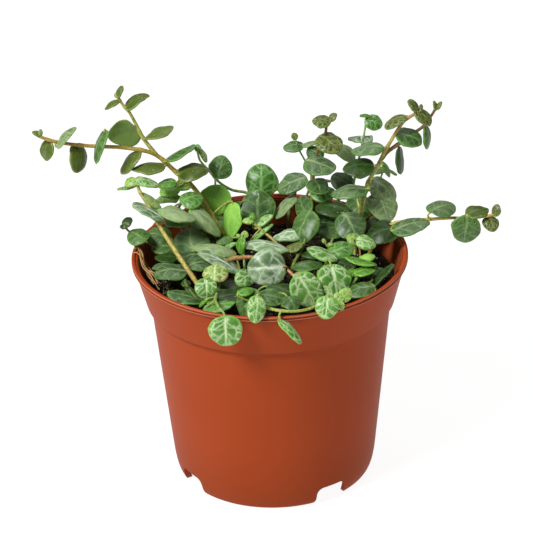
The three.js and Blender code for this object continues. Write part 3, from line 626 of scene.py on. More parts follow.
def bladeFrame(across, up, back, point, turn, lean):
    # a blade's middle, the way to its tip, across it, and out of its upper face
    angle, leaning, pointing = math.radians(turn), directionOf(lean), directionOf(point)
    face = towardsViewer * math.cos(angle) + leaning * math.sin(angle)
    tip = (pointing - towardsViewer * math.tan(angle) * pointing.dot(leaning)).normalized()
    return placeOf(across, up, back), tip, face.cross(tip), face


# Each stem: where it leaves the peat (x, y) or the stem it branches from, its thickness, the colours of its
# bark at the foot and at the tip, its route, and its blades.
# A blade: across, up, back, length, width, way its tip points on the drawing in degrees, angle between its
# face and the line of sight, way that its face leans on the drawing, and its look.
stems = {
    "longLeft": {
        "root": (-16, 21), "thick": 2.2, "bark": ("b4a648", "a8883e"),
        "route": [(-20, 17.5, 24), (-26, 27.5, 27), (-31, 33.5, 29), (-36, 37.5, 29), (-41.5, 42.5, 30),
                  (-46.5, 45, 29), (-55.5, 46.5, 28), (-65, 47, 27), (-73, 47.5, 26), (-81, 48.5, 25),
                  (-86.5, 50, 24), (-91, 52, 24)],
        "blades": [
            (-90, 52, 24, 3.6, 2.4, 155, 45, 60, "olive"), (-88.5, 52.5, 24, 2.6, 1.8, 85, 40, 0, "faded"),
            (-86, 45.5, 25, 8, 7, -95, 44, 180, "olive"), (-79, 51, 24, 10.5, 8.5, 48, 70, 138, "slate"),
            (-73.5, 42.5, 25, 11.2, 9.5, -92, 50, 0, "olive"),
            (-65.5, 47, 22, 13.2, 9.5, -105, 68, 165, "deep"),
            (-53.5, 41, 27, 11.2, 8.5, -130, 56, 140, "olive"),
            (-46.5, 39, 26, 13, 9.5, 185, 66, 95, "olive"), (-33.5, 44.5, 27, 12.2, 9, 28, 74, 118, "deep"),
            (-29, 37.5, 25, 11.8, 10.5, 10, 50, 100, "olive"), (-39, 32.5, 24, 7.5, 6, 190, 58, 100, "mid"),
            (-38, 30, 29, 8, 7, 200, 55, 90, "bright"), (-32.5, 32, 33, 7, 6, 15, 45, 90, "bright"),
            (-14, 17.6, 22, 14.5, 10.5, -95, 50, 180, "bright"),
        ],
    },
    "shortLeft": {
        "branchOf": "longLeft", "thick": 1.8, "bark": ("a8ac4c", "a09848"),
        "route": [(-43, 43.5, 30), (-45, 46, 30), (-47, 48.5, 31), (-49, 51.5, 31), (-51, 55.5, 32),
                  (-53.5, 60, 32), (-56, 63, 33), (-58, 66, 33)],
        "blades": [
            (-55.5, 52, 34, 12.8, 12, 190, 140, 80, "olive"), (-51, 65, 33, 10.3, 8, 32, 58, 122, "olive"),
            (-60.5, 63.5, 33, 6.6, 4.5, 213, 62, 123, "olive"),
            (-57.5, 68.5, 33, 4.8, 3.4, 70, 50, 160, "olive"), (-59, 67, 33, 2, 1.4, 115, 20, 90, "faded"),
            (-42, 52.5, 31, 11.5, 9, 22, 62, 112, "olive"),
        ],
    },
    "backLeft": {
        "root": (-3, 40), "thick": 1.5, "bark": ("b4cc7c", "b6c272"),
        "route": [(-3, 23.5, 42), (-7, 28.5, 41), (-13.5, 30, 39), (-18.5, 33, 36), (-22.5, 37.5, 34),
                  (-26, 41.5, 32), (-27, 45, 31)],
        "blades": [
            (-27, 46.5, 31, 3, 2.6, 95, 20, 90, "mid"), (-24.5, 43.5, 31, 5.6, 3.4, -65, 55, 25, "faded"),
            (-18, 39, 36, 9.2, 9, 80, 10, 90, "deep"), (-20, 26, 30, 12.3, 12, -90, 165, 90, "bright"),
        ],
    },
    "leaningLeft": {
        "root": (-27, -18), "thick": 2.2, "bark": ("c4ab5a", "a9a24e"),
        "route": [(-27, -7, -15), (-30, -2.5, -12), (-35, 5, -6), (-40.5, 13.5, 2), (-43, 18, 5),
                  (-46, 23.5, 9), (-49.5, 29, 13), (-50.5, 32, 15)],
        "blades": [
            (-47, 33, 14, 9.5, 7.5, -12, 62, 78, "netted"), (-53.5, 33, 15, 5, 4.5, 215, 45, 125, "young"),
            (-56, 30.5, 15, 4.8, 3, 185, 75, 95, "netted"), (-45, 26, 13, 9.3, 6.5, -38, 68, 52, "faded"),
            (-46, 21.5, 6, 13.5, 9.5, 152, 66, 62, "grey"), (-35, 20.5, 8, 14.8, 11, -14, 64, 76, "slate"),
            (-35, 17.5, 14, 9, 8, -10, 60, 85, "deep"),
        ],
    },
    "leftTip": {
        "root": (-36, 8), "thick": 1.4, "bark": ("7c7a3c", "7a5c34"),
        "route": [(-39.5, 4.5, 10), (-45, 8, 10), (-47, 9.5, 10), (-50.5, 12, 12), (-53.5, 13.5, 12),
                  (-55, 15, 12)],
        "blades": [
            (-54.5, 17.5, 12, 4.5, 4, 60, 35, 120, "dark"), (-56, 15.5, 12, 2.8, 2, 170, 40, 60, "dark"),
            (-50.5, 12, 9, 9.4, 8, 150, 45, 105, "deep"), (-42, 12, 15, 9.5, 9.2, 170, 30, 90, "deep"),
            (-39.5, 7.5, 11, 11, 9.2, 175, 48, 90, "deep"),
        ],
    },
    "leftMat": {
        "root": (-22, 6), "thick": 1.6, "bark": ("566a30", "667838"),
        "route": [(-26, 1, 3), (-31, -3.5, -5), (-31.5, -7, -20), (-27.5, -12.5, -32)],
        "blades": [
            (-29.5, 10, 11, 14, 13.5, 100, 42, 90, "cool"), (-39.5, 3.5, 2, 8, 7, 180, 60, 90, "dark"),
            (-28.5, 4, 3, 12, 9, 190, 55, 90, "cool"), (-39.5, 0, -3, 10.5, 8, 175, 66, 90, "cool"),
            (-37.5, -2, -9, 13, 11, 185, 58, 95, "cool"), (-31.5, -6.5, -16, 4.5, 3.5, 80, 60, 90, "dark"),
            (-29.5, -9.5, -25, 5, 3.6, -45, 60, 60, "dark"), (-32, -12, -30, 13, 10, 165, 62, 75, "deep"),
            (-26, 1, -5, 10.5, 8, 10, 60, 90, "cool"),
        ],
    },
    "backMat": {
        "root": (-22, 30), "thick": 1.6, "bark": ("7d8646", "8a8c4c"),
        "route": [(-24, 13.5, 30), (-30, 19, 29), (-34.5, 23, 29)],
        "blades": [
            (-39, 27, 28, 9.4, 7.5, 190, 60, 100, "faded"), (-29.5, 26.5, 21, 8.8, 8.5, 20, 42, 90, "mid"),
            (-23.5, 18, 16, 15.5, 10, -42, 58, 48, "slate"), (-26, 16.5, 22, 8, 7, 160, 50, 90, "dark"),
        ],
    },
    "frontLeft": {
        "root": (-20, -12), "thick": 1.7, "bark": ("8f9a4a", "8fae4e"),
        "route": [(-19, -9, -22), (-20, -13, -36), (-19.5, -14.5, -47), (-18.5, -16.5, -52)],
        "blades": [
            (-20, -2, -16, 10.5, 9.5, 80, 48, 95, "cream"), (-21, -5.5, -18, 2.4, 1.6, 20, 30, 90, "young"),
            (-23.5, -9, -24.5, 8.6, 8.5, -90, 8, 90, "netted"),
            (-25, -14.5, -34, 3.6, 2, 225, 60, 135, "fresh"),
            (-21.5, -14.5, -33, 4.5, 3.5, -30, 50, 60, "fresh"), (-13.5, -7, -14, 13, 9, 10, 62, 95, "dark"),
            (-14.5, -12, -30, 13.5, 10.5, 10, 58, 90, "dark"),
            (-18.5, -15.5, -38, 11.8, 8.5, 13, 65, 103, "mid"),
            (-16, -25.5, -56, 11.6, 12.2, -88, 20, -90, "netted"),
        ],
    },
    "brownStem": {
        "root": (-17, 4), "thick": 1.9, "bark": ("8f7a38", "c98a66"),
        "route": [(-15, 2.5, -2), (-10.5, 3.5, -5), (-5, 3.5, -9), (1.5, 2, -13), (7, -0.5, -17),
                  (10, -3, -20), (13.5, -6, -24)],
        "blades": [
            (-20.5, 7, 4, 17, 10, 172, 68, 82, "slate"), (-18.5, 2, -4, 17, 10.5, 153, 62, 63, "grey"),
            (0, -0.5, -20, 14, 13.8, 185, 5, 90, "grey"), (-8.5, -4.5, -18, 8.5, 7.5, -150, 40, 60, "netted"),
            (16, -9.5, -32, 14, 12.5, -60, 15, 20, "netted"), (12.5, -3.5, -24, 5, 4, 60, 55, 90, "netted"),
        ],
    },
    "frontRunner": {
        "root": (-8, -34), "thick": 1.5, "bark": ("93a04a", "a3b34c"),
        "route": [(-4, -14.5, -44), (0, -16, -50), (3.5, -17, -52), (7.5, -17.5, -53), (11.5, -17.5, -53),
                  (17, -16.5, -51), (21, -14.5, -47), (26.5, -12.5, -42)],
        "blades": [
            (-7, -15, -43, 12, 11, -100, 35, 170, "deep"), (-4, -16.8, -54.5, 9.8, 7.2, -95, 10, 0, "netted"),
            (-8, -9.5, -42, 6.5, 5, 15, 60, 90, "fresh"), (2, -12, -40, 11, 8.5, -10, 50, 80, "deep"),
            (6, -9.5, -28.5, 12, 9, -20, 50, 90, "dark"), (9.5, -25, -58, 11.7, 7, -48, 65, 42, "netted"),
            (23.5, -16, -52, 8.4, 8.3, -100, 5, 90, "netted"), (28.5, -12, -44, 4, 4, 60, 10, 90, "young"),
            (31, -11, -43, 5.8, 5, 50, 15, 45, "young"), (29, -15.5, -48, 3.2, 3, -60, 0, 0, "young"),
            (9.5, -14, -42, 8, 7, -60, 45, 90, "deep"),
        ],
    },
    "youngShoot": {
        "root": (8, 6), "thick": 1.5, "bark": ("9a8a4c", "b5a45c"),
        "route": [(3.5, 9.5, 8), (-0.5, 13, 12), (-3.5, 15.5, 14), (-5.5, 17.5, 15)],
        "blades": [
            (-7, 18, 15, 4.8, 3.4, 185, 40, 90, "young"), (-5.5, 19.5, 15.5, 3.2, 2.6, 80, 20, 90, "fresh"),
            (-1.5, 18, 17, 9, 6.5, 32, 62, 122, "netted"), (-2, 13.5, 14, 10.5, 6, 38, 76, 128, "netted"),
        ],
    },
    "smallShoot": {
        "root": (-10, 2), "thick": 1.3, "bark": ("7f9a46", "8fb050"),
        "route": [(-9, 6.5, 6), (-9, 10.5, 9)],
        "blades": [
            (-8.5, 12.5, 9, 3, 2.8, 90, 10, 90, "young"), (-11, 12, 9, 2, 1.4, 150, 20, 90, "young"),
            (-10, 8, 1, 6.5, 4.5, -95, 40, 180, "fresh"), (-14.5, 8, 10, 5.6, 3.2, 205, 60, 115, "netted"),
            (-16.5, 10.2, 13.4, 7, 5, 200, 60, 90, "deep"),
        ],
    },
    "centreShoot": {
        "root": (8, -10), "thick": 1.6, "bark": ("6e7f34", "7f9040"),
        "route": [(10.5, 0.5, -4), (12.5, 4.5, 1), (14.5, 8.5, 5), (16, 14.5, 13), (17, 20, 19)],
        "blades": [
            (14.5, 23.5, 24, 10.5, 7.5, 110, 45, 150, "deep"),
            (14.5, 15.3, 12, 14.2, 12, -110, 38, 150, "deep"),
            (8.5, 12.5, 12, 12.2, 8.5, 190, 60, 100, "grey"), (10.5, 7.5, 3, 7.8, 6, 200, 58, 110, "pepper"),
            (0, 8, 2, 17.5, 11, 172, 66, 82, "grey"), (16, 0.5, -8, 12, 8, 10, 62, 90, "deep"),
            (18.5, 5, 2, 9.5, 7.5, 0, 60, 90, "dark"),
        ],
    },
    "backCentre": {
        "root": (0, 34), "thick": 1.8, "bark": ("7a8540", "8a7448"),
        "route": [(-1, 17.5, 36), (-2, 23, 38), (-1, 27.5, 40), (3.5, 30, 41), (13, 32.5, 40)],
        "blades": [
            (-2, 34, 42, 13, 12.8, 92, 8, 90, "mid"), (-3.5, 23, 33, 14, 13.5, 92, 8, 90, "deep"),
            (10, 32.5, 38, 12.2, 10.5, 205, 42, 115, "cool"), (7, 23.5, 34, 11.5, 8, 228, 58, 140, "slate"),
            (-12.5, 23.5, 33, 6, 4, 215, 50, 125, "deep"),
        ],
    },
    "tallCentre": {
        "root": (14, 26), "thick": 1.8, "bark": ("8a8040", "7b5a36"),
        "route": [(16.5, 20, 28), (18, 27.5, 30), (18, 34, 30), (19.5, 42.5, 30), (20.5, 46.5, 29),
                  (23, 52, 29), (23.5, 55.5, 29), (24.5, 57.5, 29)],
        "blades": [
            (21.5, 57, 28, 7, 6.6, 175, 45, 90, "pepper"), (26, 58.5, 28, 3.8, 3, 55, 25, 150, "pepper"),
            (24.5, 48.5, 25, 11, 10.5, -40, 39, 90, "pepper"), (19, 44.5, 33, 7, 6.5, 150, 30, 90, "deep"),
            (21, 39.5, 24, 12.8, 11, -20, 48, 95, "cool"), (23, 33.5, 30, 4.8, 3, 0, 75, 90, "grey"),
            (22, 29, 31, 10, 9.5, -60, 45, 90, "mid"), (20, 31.5, 25, 10, 8.5, -60, 50, 90, "deep"),
        ],
    },
    "smallTip": {
        "root": (10, 32), "thick": 1.2, "bark": ("6f8a40", "7fa04c"),
        "route": [(14.5, 24, 36), (17.5, 34, 36), (16, 39.5, 36), (14.5, 42.5, 35), (12.5, 46, 35)],
        "blades": [
            (10.5, 47, 35, 7.8, 6, 190, 45, 100, "deep"), (11, 51, 35, 3, 2.6, 110, 20, 90, "olive"),
            (17, 48, 35, 6.3, 4, 15, 65, 105, "slate"),
        ],
    },
    "midTip": {
        "root": (27, 32), "thick": 1.4, "bark": ("7d9a4a", "96b465"),
        "route": [(30.5, 22, 34), (33.5, 30, 36), (35, 37, 36), (36.5, 43.5, 36), (38, 50.5, 36),
                  (39, 57, 36)],
        "blades": [
            (42, 56.5, 36, 7, 6.6, -20, 20, 60, "mid"), (38.5, 59, 36, 4, 2, 175, 60, 90, "deep"),
            (37, 50, 37, 7, 9.3, -90, 70, 90, "grey"), (30.5, 45, 38, 10, 8, 145, 45, 55, "slate"),
            (29.5, 33.5, 40, 9, 8.5, 150, 30, 90, "dark"),
        ],
    },
    "forkedRight": {
        "root": (34, 18), "thick": 2.2, "bark": ("d6e67c", "a87838"),
        "route": [(36.5, 20, 22), (39, 30.5, 17), (41.5, 36, 17), (44, 40, 17), (45.5, 43.5, 17),
                  (48, 48, 17), (52, 54.5, 17), (54.5, 57.5, 17), (58.5, 60, 17)],
        "blades": [
            (57.5, 63, 17, 5.6, 4.4, 125, 45, 35, "pepper"), (61.5, 58.5, 16, 8, 6.6, -45, 40, 45, "pepper"),
            (60.5, 62.5, 17, 2.2, 1.6, 80, 20, 90, "pepper"), (50.5, 57, 17, 9.4, 7, 208, 55, 118, "pepper"),
            (39.5, 46, 15, 12.2, 9, 188, 62, 98, "cool"), (36, 39, 13, 11.8, 9.8, 188, 45, 98, "dark"),
            (32.5, 29.5, 10, 13.8, 10, 190, 60, 100, "cool"), (46, 30, 20, 12.5, 11, -45, 40, 45, "slate"),
            (45.5, 23.5, 14, 12.8, 12, -70, 28, 60, "slate"), (36, 23, 26, 12, 10, -80, 30, 100, "deep"),
        ],
    },
    "forkRight2": {
        "branchOf": "forkedRight", "thick": 1.8, "bark": ("8a6a3c", "7e5838"),
        "route": [(45, 42, 17), (47.5, 45, 18), (52.5, 48.5, 19), (56.5, 51.5, 20), (61.5, 55, 21),
                  (64.5, 59, 21), (66, 61.5, 21)],
        "blades": [
            (56, 50.5, 17, 10.2, 9.4, -20, 40, 70, "deep"), (66, 63, 21, 3.8, 2, 100, 45, 10, "pepper"),
            (67.5, 63, 21, 3.6, 2, 60, 45, 150, "pepper"), (63, 50.5, 21, 9, 6.5, -82, 65, 0, "deep"),
            (52.5, 41.5, 19, 10.5, 7, -84, 65, 0, "dark"),
        ],
    },
    "twig": {
        "root": (40, 22), "thick": 1.2, "bark": ("7a9048", "7f8a44"),
        "route": [(43.5, 22, 25), (44.5, 32, 28), (45, 35.5, 28), (46, 38, 28)],
        "blades": [
            (46.5, 39, 28, 5, 3.2, 115, 55, 25, "mid"), (47, 37, 28, 4.6, 2.6, -50, 60, 40, "slate"),
            (49, 37, 28, 4.8, 1.8, -32, 65, 58, "slate"), (43.5, 37.5, 30, 6, 4, 200, 55, 90, "deep"),
            (42.8, 15.3, 16.5, 9, 8, -60, 35, 90, "dark"),
        ],
    },
    "sideRight": {
        "root": (38, 4), "thick": 1.8, "bark": ("c4b862", "bc9a44"),
        "route": [(44.5, 13.5, 6), (49, 16.5, 6), (56, 18, 5), (64, 18.5, 5), (72, 19, 5), (79.5, 19, 5),
                  (85, 19.5, 5), (89.5, 20.5, 5)],
        "blades": [
            (45, 13.4, 3, 12, 11, 205, 38, 110, "dark"), (56.5, 16, 1, 14.5, 10, 15, 52, 100, "cool"),
            (68.5, 23, 6, 12.5, 9.5, 20, 56, 80, "cool"), (82.5, 21.5, 6, 9.4, 7, 15, 50, 85, "olive"),
            (78, 14.5, 2, 11, 10.8, -95, 22, -90, "deep"), (88, 17, 4, 6.8, 6.3, -70, 30, 90, "pepper"),
            (90, 22, 5, 4.7, 3.6, 82, 30, 180, "pepper"),
        ],
    },
    "rightMat": {
        "root": (24, 8), "thick": 1.6, "bark": ("7d8646", "8a8c4c"),
        "route": [(25.5, 9.5, 12), (28, 14.5, 16), (30.5, 19, 20)],
        "blades": [
            (33, 16, 12.5, 12.5, 12, -62, 25, 90, "cool"), (25.5, 23, 22, 12.5, 9, 175, 50, 90, "dark"),
            (25.5, 14.5, 17, 12, 9, 190, 45, 90, "deep"), (23, 19.5, 27, 9, 8, 200, 45, 95, "deep"),
        ],
    },
    "yellowTip": {
        "root": (32, -2), "thick": 1.2, "bark": ("8a7a44", "9a6c40"),
        "route": [(36.5, 2, -4), (36.5, 6.5, 1), (36, 9.5, 4)],
        "blades": [
            (34, 11, 4, 5.8, 5.5, 150, 30, 90, "young"), (39, 9.5, -2, 7.8, 6.5, -20, 35, 80, "netted"),
        ],
    },
    "frontMat": {
        "root": (18, -8), "thick": 1.7, "bark": ("93a04a", "9aa650"),
        "route": [(21.5, -1.5, -12), (25, 2, -9), (26.5, 4, -5), (25, 7, -1)],
        "blades": [
            (26.5, -5.5, -26, 13.5, 12.5, -80, 25, 60, "netted"), (22, 5, -7, 12.2, 8, 158, 58, 68, "netted"),
            (29, 6.5, -2, 10, 8.5, 20, 38, 90, "mid"), (25, 8.5, 0, 2.8, 1.8, 0, 45, 90, "young"),
            (22.5, 10, 0, 2.2, 1.5, 120, 30, 60, "young"), (30.5, 0.5, -10, 9, 7.5, -15, 55, 90, "dark"),
            (23.5, -7, -19, 10.5, 9, -120, 35, 120, "mid"),
        ],
    },
    "brightShoot": {
        "root": (30, -22), "thick": 1.4, "bark": ("86b040", "90bc48"),
        "route": [(33.5, -7.5, -24), (36, -3.5, -20), (37.5, -0.5, -16), (39, 2, -13)],
        "blades": [
            (37, 2, -15, 12, 6.5, 166, 72, 76, "fresh"), (39.5, 3.5, -10, 6.5, 5, 20, 55, 90, "bright"),
            (38.5, -2, -20, 8, 6, 8, 62, 90, "fresh"), (33.5, -2.5, -18, 4.5, 4, 200, 45, 90, "fresh"),
            (33, -4.4, -14, 7.2, 6.3, 190, 55, 90, "dark"),
        ],
    },
    "backRunner": {
        "root": (8, 42), "thick": 1.6, "bark": ("7d8646", "86804a"),
        "route": [(9, 24.5, 46), (10, 30, 51.5), (10.5, 30.5, 56.5), (11, 25, 58), (12, 16, 58.5),
                  (13, 9, 58.5)],
        "blades": [
            (6, 23, 58.5, 12, 11, -100, 155, 90, "deep"), (17, 18, 57.5, 11, 10.5, -70, 155, 80, "slate"),
            (8, 11, 59, 10, 9.5, -105, 155, 90, "deep"), (14, 4.5, 58.5, 6, 5, -85, 155, 90, "slate"),
        ],
    },
    "backRight": {
        "root": (20, 38), "thick": 1.6, "bark": ("7d8646", "86804a"),
        "route": [(24, 20.5, 41), (30, 28, 43), (34, 28, 47), (36, 20, 48.5), (37, 12, 48.5), (38, 7, 48.5)],
        "blades": [
            (30, 19.5, 51, 11, 10.5, -110, 145, 110, "dark"), (41, 13.5, 45, 11, 10, -60, 140, 70, "dark"),
            (33, 8, 51, 9.5, 9, -110, 150, 100, "slate"), (38.5, 2.5, 48.5, 6, 5.5, -85, 150, 90, "bright"),
            (20, 17, 38, 9, 8.5, 20, 60, 90, "dark"),
        ],
    },
    "backSpill": {
        "root": (-14, 36), "thick": 1.6, "bark": ("7d8646", "86804a"),
        "route": [(-21, 20, 41), (-28, 26, 43), (-31, 27.5, 45), (-34, 24, 48), (-36, 16, 48.5),
                  (-37, 8, 48)],
        "blades": [
            (-28, 20, 52, 11, 10.5, -90, 150, 90, "dark"), (-41, 14, 44, 11, 10, -110, 145, 110, "slate"),
            (-32, 9, 51, 10, 9, -70, 150, 90, "grey"), (-38, 2.5, 47.5, 5.5, 5, -95, 150, 90, "slate"),
            (-17, 18, 40, 10, 9, 150, 60, 90, "fresh"),
        ],
    },
    "rightRim": {
        "root": (38, -14), "thick": 1.4, "bark": ("5d6b30", "6a7838"),
        "route": [(41.5, -5.5, -22), (38, -8, -29)],
        "blades": [
            (45, -3.5, -20, 12, 7.5, 45, 74, 135, "dark"), (43.2, -2.5, -13, 7.5, 6.3, 45, 50, 90, "deep"),
            (37, -9, -29, 11, 8.6, 193, 48, 100, "deep"),
        ],
    },
}

leafSizes = {
    "sectors": 28, "rimHalf": 0.32, "crownHalf": 0.55, "underSwell": 0.03, "rimFrom": 0.955,
    "rimReach": 0.045, "egg": 0.1, "crown": 0.1, "fullness": 1.07, "ripple": 0.6, "unevenness": 0.45,
    "stemSides": 10, "stepsBetween": 8, "rootDepth": 4.5, "rootRise": 3.5, "tipTaper": 0.45,
    "nodeSwell": 0.22, "nodeReach": 1.1, "smallBelow": 4.5,
    # a stalk: its radius and sides, where it starts along the blade and below it, how far it follows the
    # blade, how thin it is on a small leaf, and how much of its own green it has
    "stalkRadius": 0.42, "stalkSides": 8, "stalkStart": 0.44, "stalkUnder": 0.4, "stalkPull": 0.4,
    "smallStalk": 0.6, "stalkColour": "86a552", "stalkShare": 0.45,
    # what is drawn for each blade, in parts of half its width: twist, crown, valley (more in a small leaf)
    # and hooked tip; and how much its taper varies
    "twist": (-0.10, 0.10), "bow": 0.2, "bowDraw": (0.65, 1.3), "valley": (-0.06, 0.10),
    "smallValley": (0.1, 0.3), "hook": (-0.16, 0.06), "taperDraw": (0.3, 1.6),
    "valleyLevel": 0.4, "hookLevel": 0.3,
    # how far a vein shows beside its line, how much wider its halo is, where the midrib runs out, and how
    # the side veins slant and curve forwards
    "veinWidth": {"net": 0.15, "midrib": 0.085, "sides": 0.12}, "halo": 2.2, "midribEnd": 1.4,
    "sideSlant": -0.95, "sideCurve": 0.35,
    # salt-like dots of 0.4 mm and a few brown scars of 0.8 mm; sizes in parts of half a leaf
    "marks": ({"cells": 5, "radius": 0.2, "share": 0.22, "strength": 0.6, "tint": "e2ead6"},
              {"cells": 1.2, "radius": 0.09, "share": 0.2, "strength": 0.85, "tint": "5f4628"}),
}
# How each kind of leaf looks: its colours, how strongly its midrib, side veins and net show, how fine the net
# is and how far apart the side veins lie, how pointed it is, and how rough and how waxy.
lookFields = ("dark", "light", "vein", "rim", "under", "midrib", "sides", "net", "cells", "apart", "taper",
              "roughness", "coat")
looks = {name: dict(zip(lookFields, values)) for name, values in {
    "olive": ("3b4e14", "5d7028", "7f9048", "74873c", "5d7a2c", 0.35, 0.12, 0.1, 2, 0.3, 0.12, 0.42, 0.2),
    "dark": ("162a06", "2b490e", "62824a", "40602c", "4f6b34", 0.4, 0.2, 0.15, 1.8, 0.3, 0.08, 0.42, 0.12),
    "deep": ("274918", "507335", "92b472", "62903f", "6c8c4a", 0.55, 0.28, 0.22, 1.9, 0.3, 0.08, 0.42, 0.2),
    "mid": ("2c5c18", "528832", "a6cc84", "6ea448", "6f9a4c", 0.65, 0.42, 0.4, 1.9, 0.32, 0.1, 0.38, 0.24),
    "slate": ("58723e", "93aa71", "bccea8", "82a05c", "869a64", 0.5, 0.3, 0.3, 1.9, 0.32, 0.1, 0.4, 0.24),
    "grey": ("48663e", "95b382", "e4f0da", "7c9c62", "8aa46c", 0.95, 0.5, 0.5, 1.4, 0.42, 0.1, 0.42, 0.24),
    "cool": ("2f4b28", "5e7b4b", "98b078", "548238", "7c9a60", 0.8, 0.38, 0.28, 1.8, 0.34, 0.08, 0.4, 0.24),
    "pepper": ("28370e", "4d5d1c", "a2ac62", "6f8840", "76894a", 0.65, 0.4, 0.62, 2.4, 0.3, 0.14, 0.44, 0.24),
    "netted": ("3a7222", "6ca042", "d0e4b2", "7cb048", "8fb465", 0.9, 0.58, 0.72, 1.8, 0.34, 0.12, 0.42,
               0.24),
    "faded": ("607d3d", "9db268", "c0da9c", "7cae4c", "86a860", 0.55, 0.45, 0.55, 1.9, 0.32, 0.1, 0.42, 0.24),
    "cream": ("527628", "84a844", "dfe2b0", "a08a4a", "a0b068", 0.9, 0.62, 0.85, 1.7, 0.34, 0.2, 0.46, 0.24),
    "fresh": ("336f0b", "5d931d", "a4ce70", "7cba3e", "6a9a34", 0.5, 0.25, 0.22, 1.8, 0.3, 0.12, 0.34, 0.24),
    "bright": ("6ba839", "a0d35b", "acd87a", "8cc84e", "7ab040", 0.4, 0.2, 0.15, 1.8, 0.3, 0.1, 0.36, 0.24),
    "young": ("5c8a26", "8cb446", "c8dc98", "a0c256", "a0bc68", 0.6, 0.5, 0.55, 2, 0.3, 0.25, 0.44, 0.24),
}.items()}
lookNames = list(looks)
# What each point of a stem or leaf tells the tree: its type, and the value where it has none.
pointFields = {
    "isLeaf": ("BOOLEAN", False), "look": ("INT", 0),
    **{label: ("FLOAT", 0.0) for label in ("stemRadius", "leafTaper", "leafSeed", "stalkGirth")},
    **{label: ("FLOAT_VECTOR", (0, 0, 0)) for label in (
        "middle", "tip", "side", "face", "leafSize", "leafShape", "stalkTop", "stalkBend", "stalkFoot")},
}


def leafTemplate():
    # One blade on the unit disc: leafPlace is (along, across, height of its skin in metres), leafBow how far
    # the crown lifts each place. Rings run from the upper middle over the edge to the middle underneath.
    s = leafSizes
    sectors, half, rim, crown = s["sectors"], s["rimHalf"], s["rimFrom"], s["crownHalf"]
    upper = [(r, half + (crown - half) * (1 - r * r), 1.0) for r in (0.22, 0.42, 0.6, 0.75, 0.87, rim)]
    turns = [math.radians(a) for a in (55, 20, -20, -55)]
    edge = [(rim + s["rimReach"] * math.cos(a), half * math.sin(a), 0.9) for a in turns]
    under = [(r, -half - s["underSwell"] * (1 - r * r), 0.75) for r in (rim, 0.8, 0.6, 0.36, 0.15)]
    places, bows, lower = [(0, 0, crown * mm)], [0.5], [0.0]
    for ring in (upper, edge, under):
        for r, height, lift in ring:
            for k in range(sectors):
                angle = 2 * math.pi * k / sectors
                egg = 1 - s["egg"] * math.cos(angle)
                places.append((r * math.cos(angle), r * egg * math.sin(angle), height * mm))
                bows.append(lift * (1 - r * r) - 0.5)
                lower.append(float(ring is under))
    places.append((0, 0, -(half + s["underSwell"]) * mm))
    bows.append(0.25)
    lower.append(1.0)
    rings = len(upper) + len(edge) + len(under)
    faces = []
    for k in range(sectors):
        after = (k + 1) % sectors
        faces.append((0, 1 + k, 1 + after))
        for ring in range(rings - 1):
            near, far = 1 + ring * sectors, 1 + (ring + 1) * sectors
            faces.append((near + k, far + k, far + after, near + after))
        last = 1 + (rings - 1) * sectors
        faces.append((len(places) - 1, last + after, last + k))
    return newObject("leafTemplate", [(0, 0, 0)] * len(places), faces=faces, columns={
        "leafPlace": ("FLOAT_VECTOR", places), "leafBow": ("FLOAT", bows), "leafUnder": ("FLOAT", lower)})


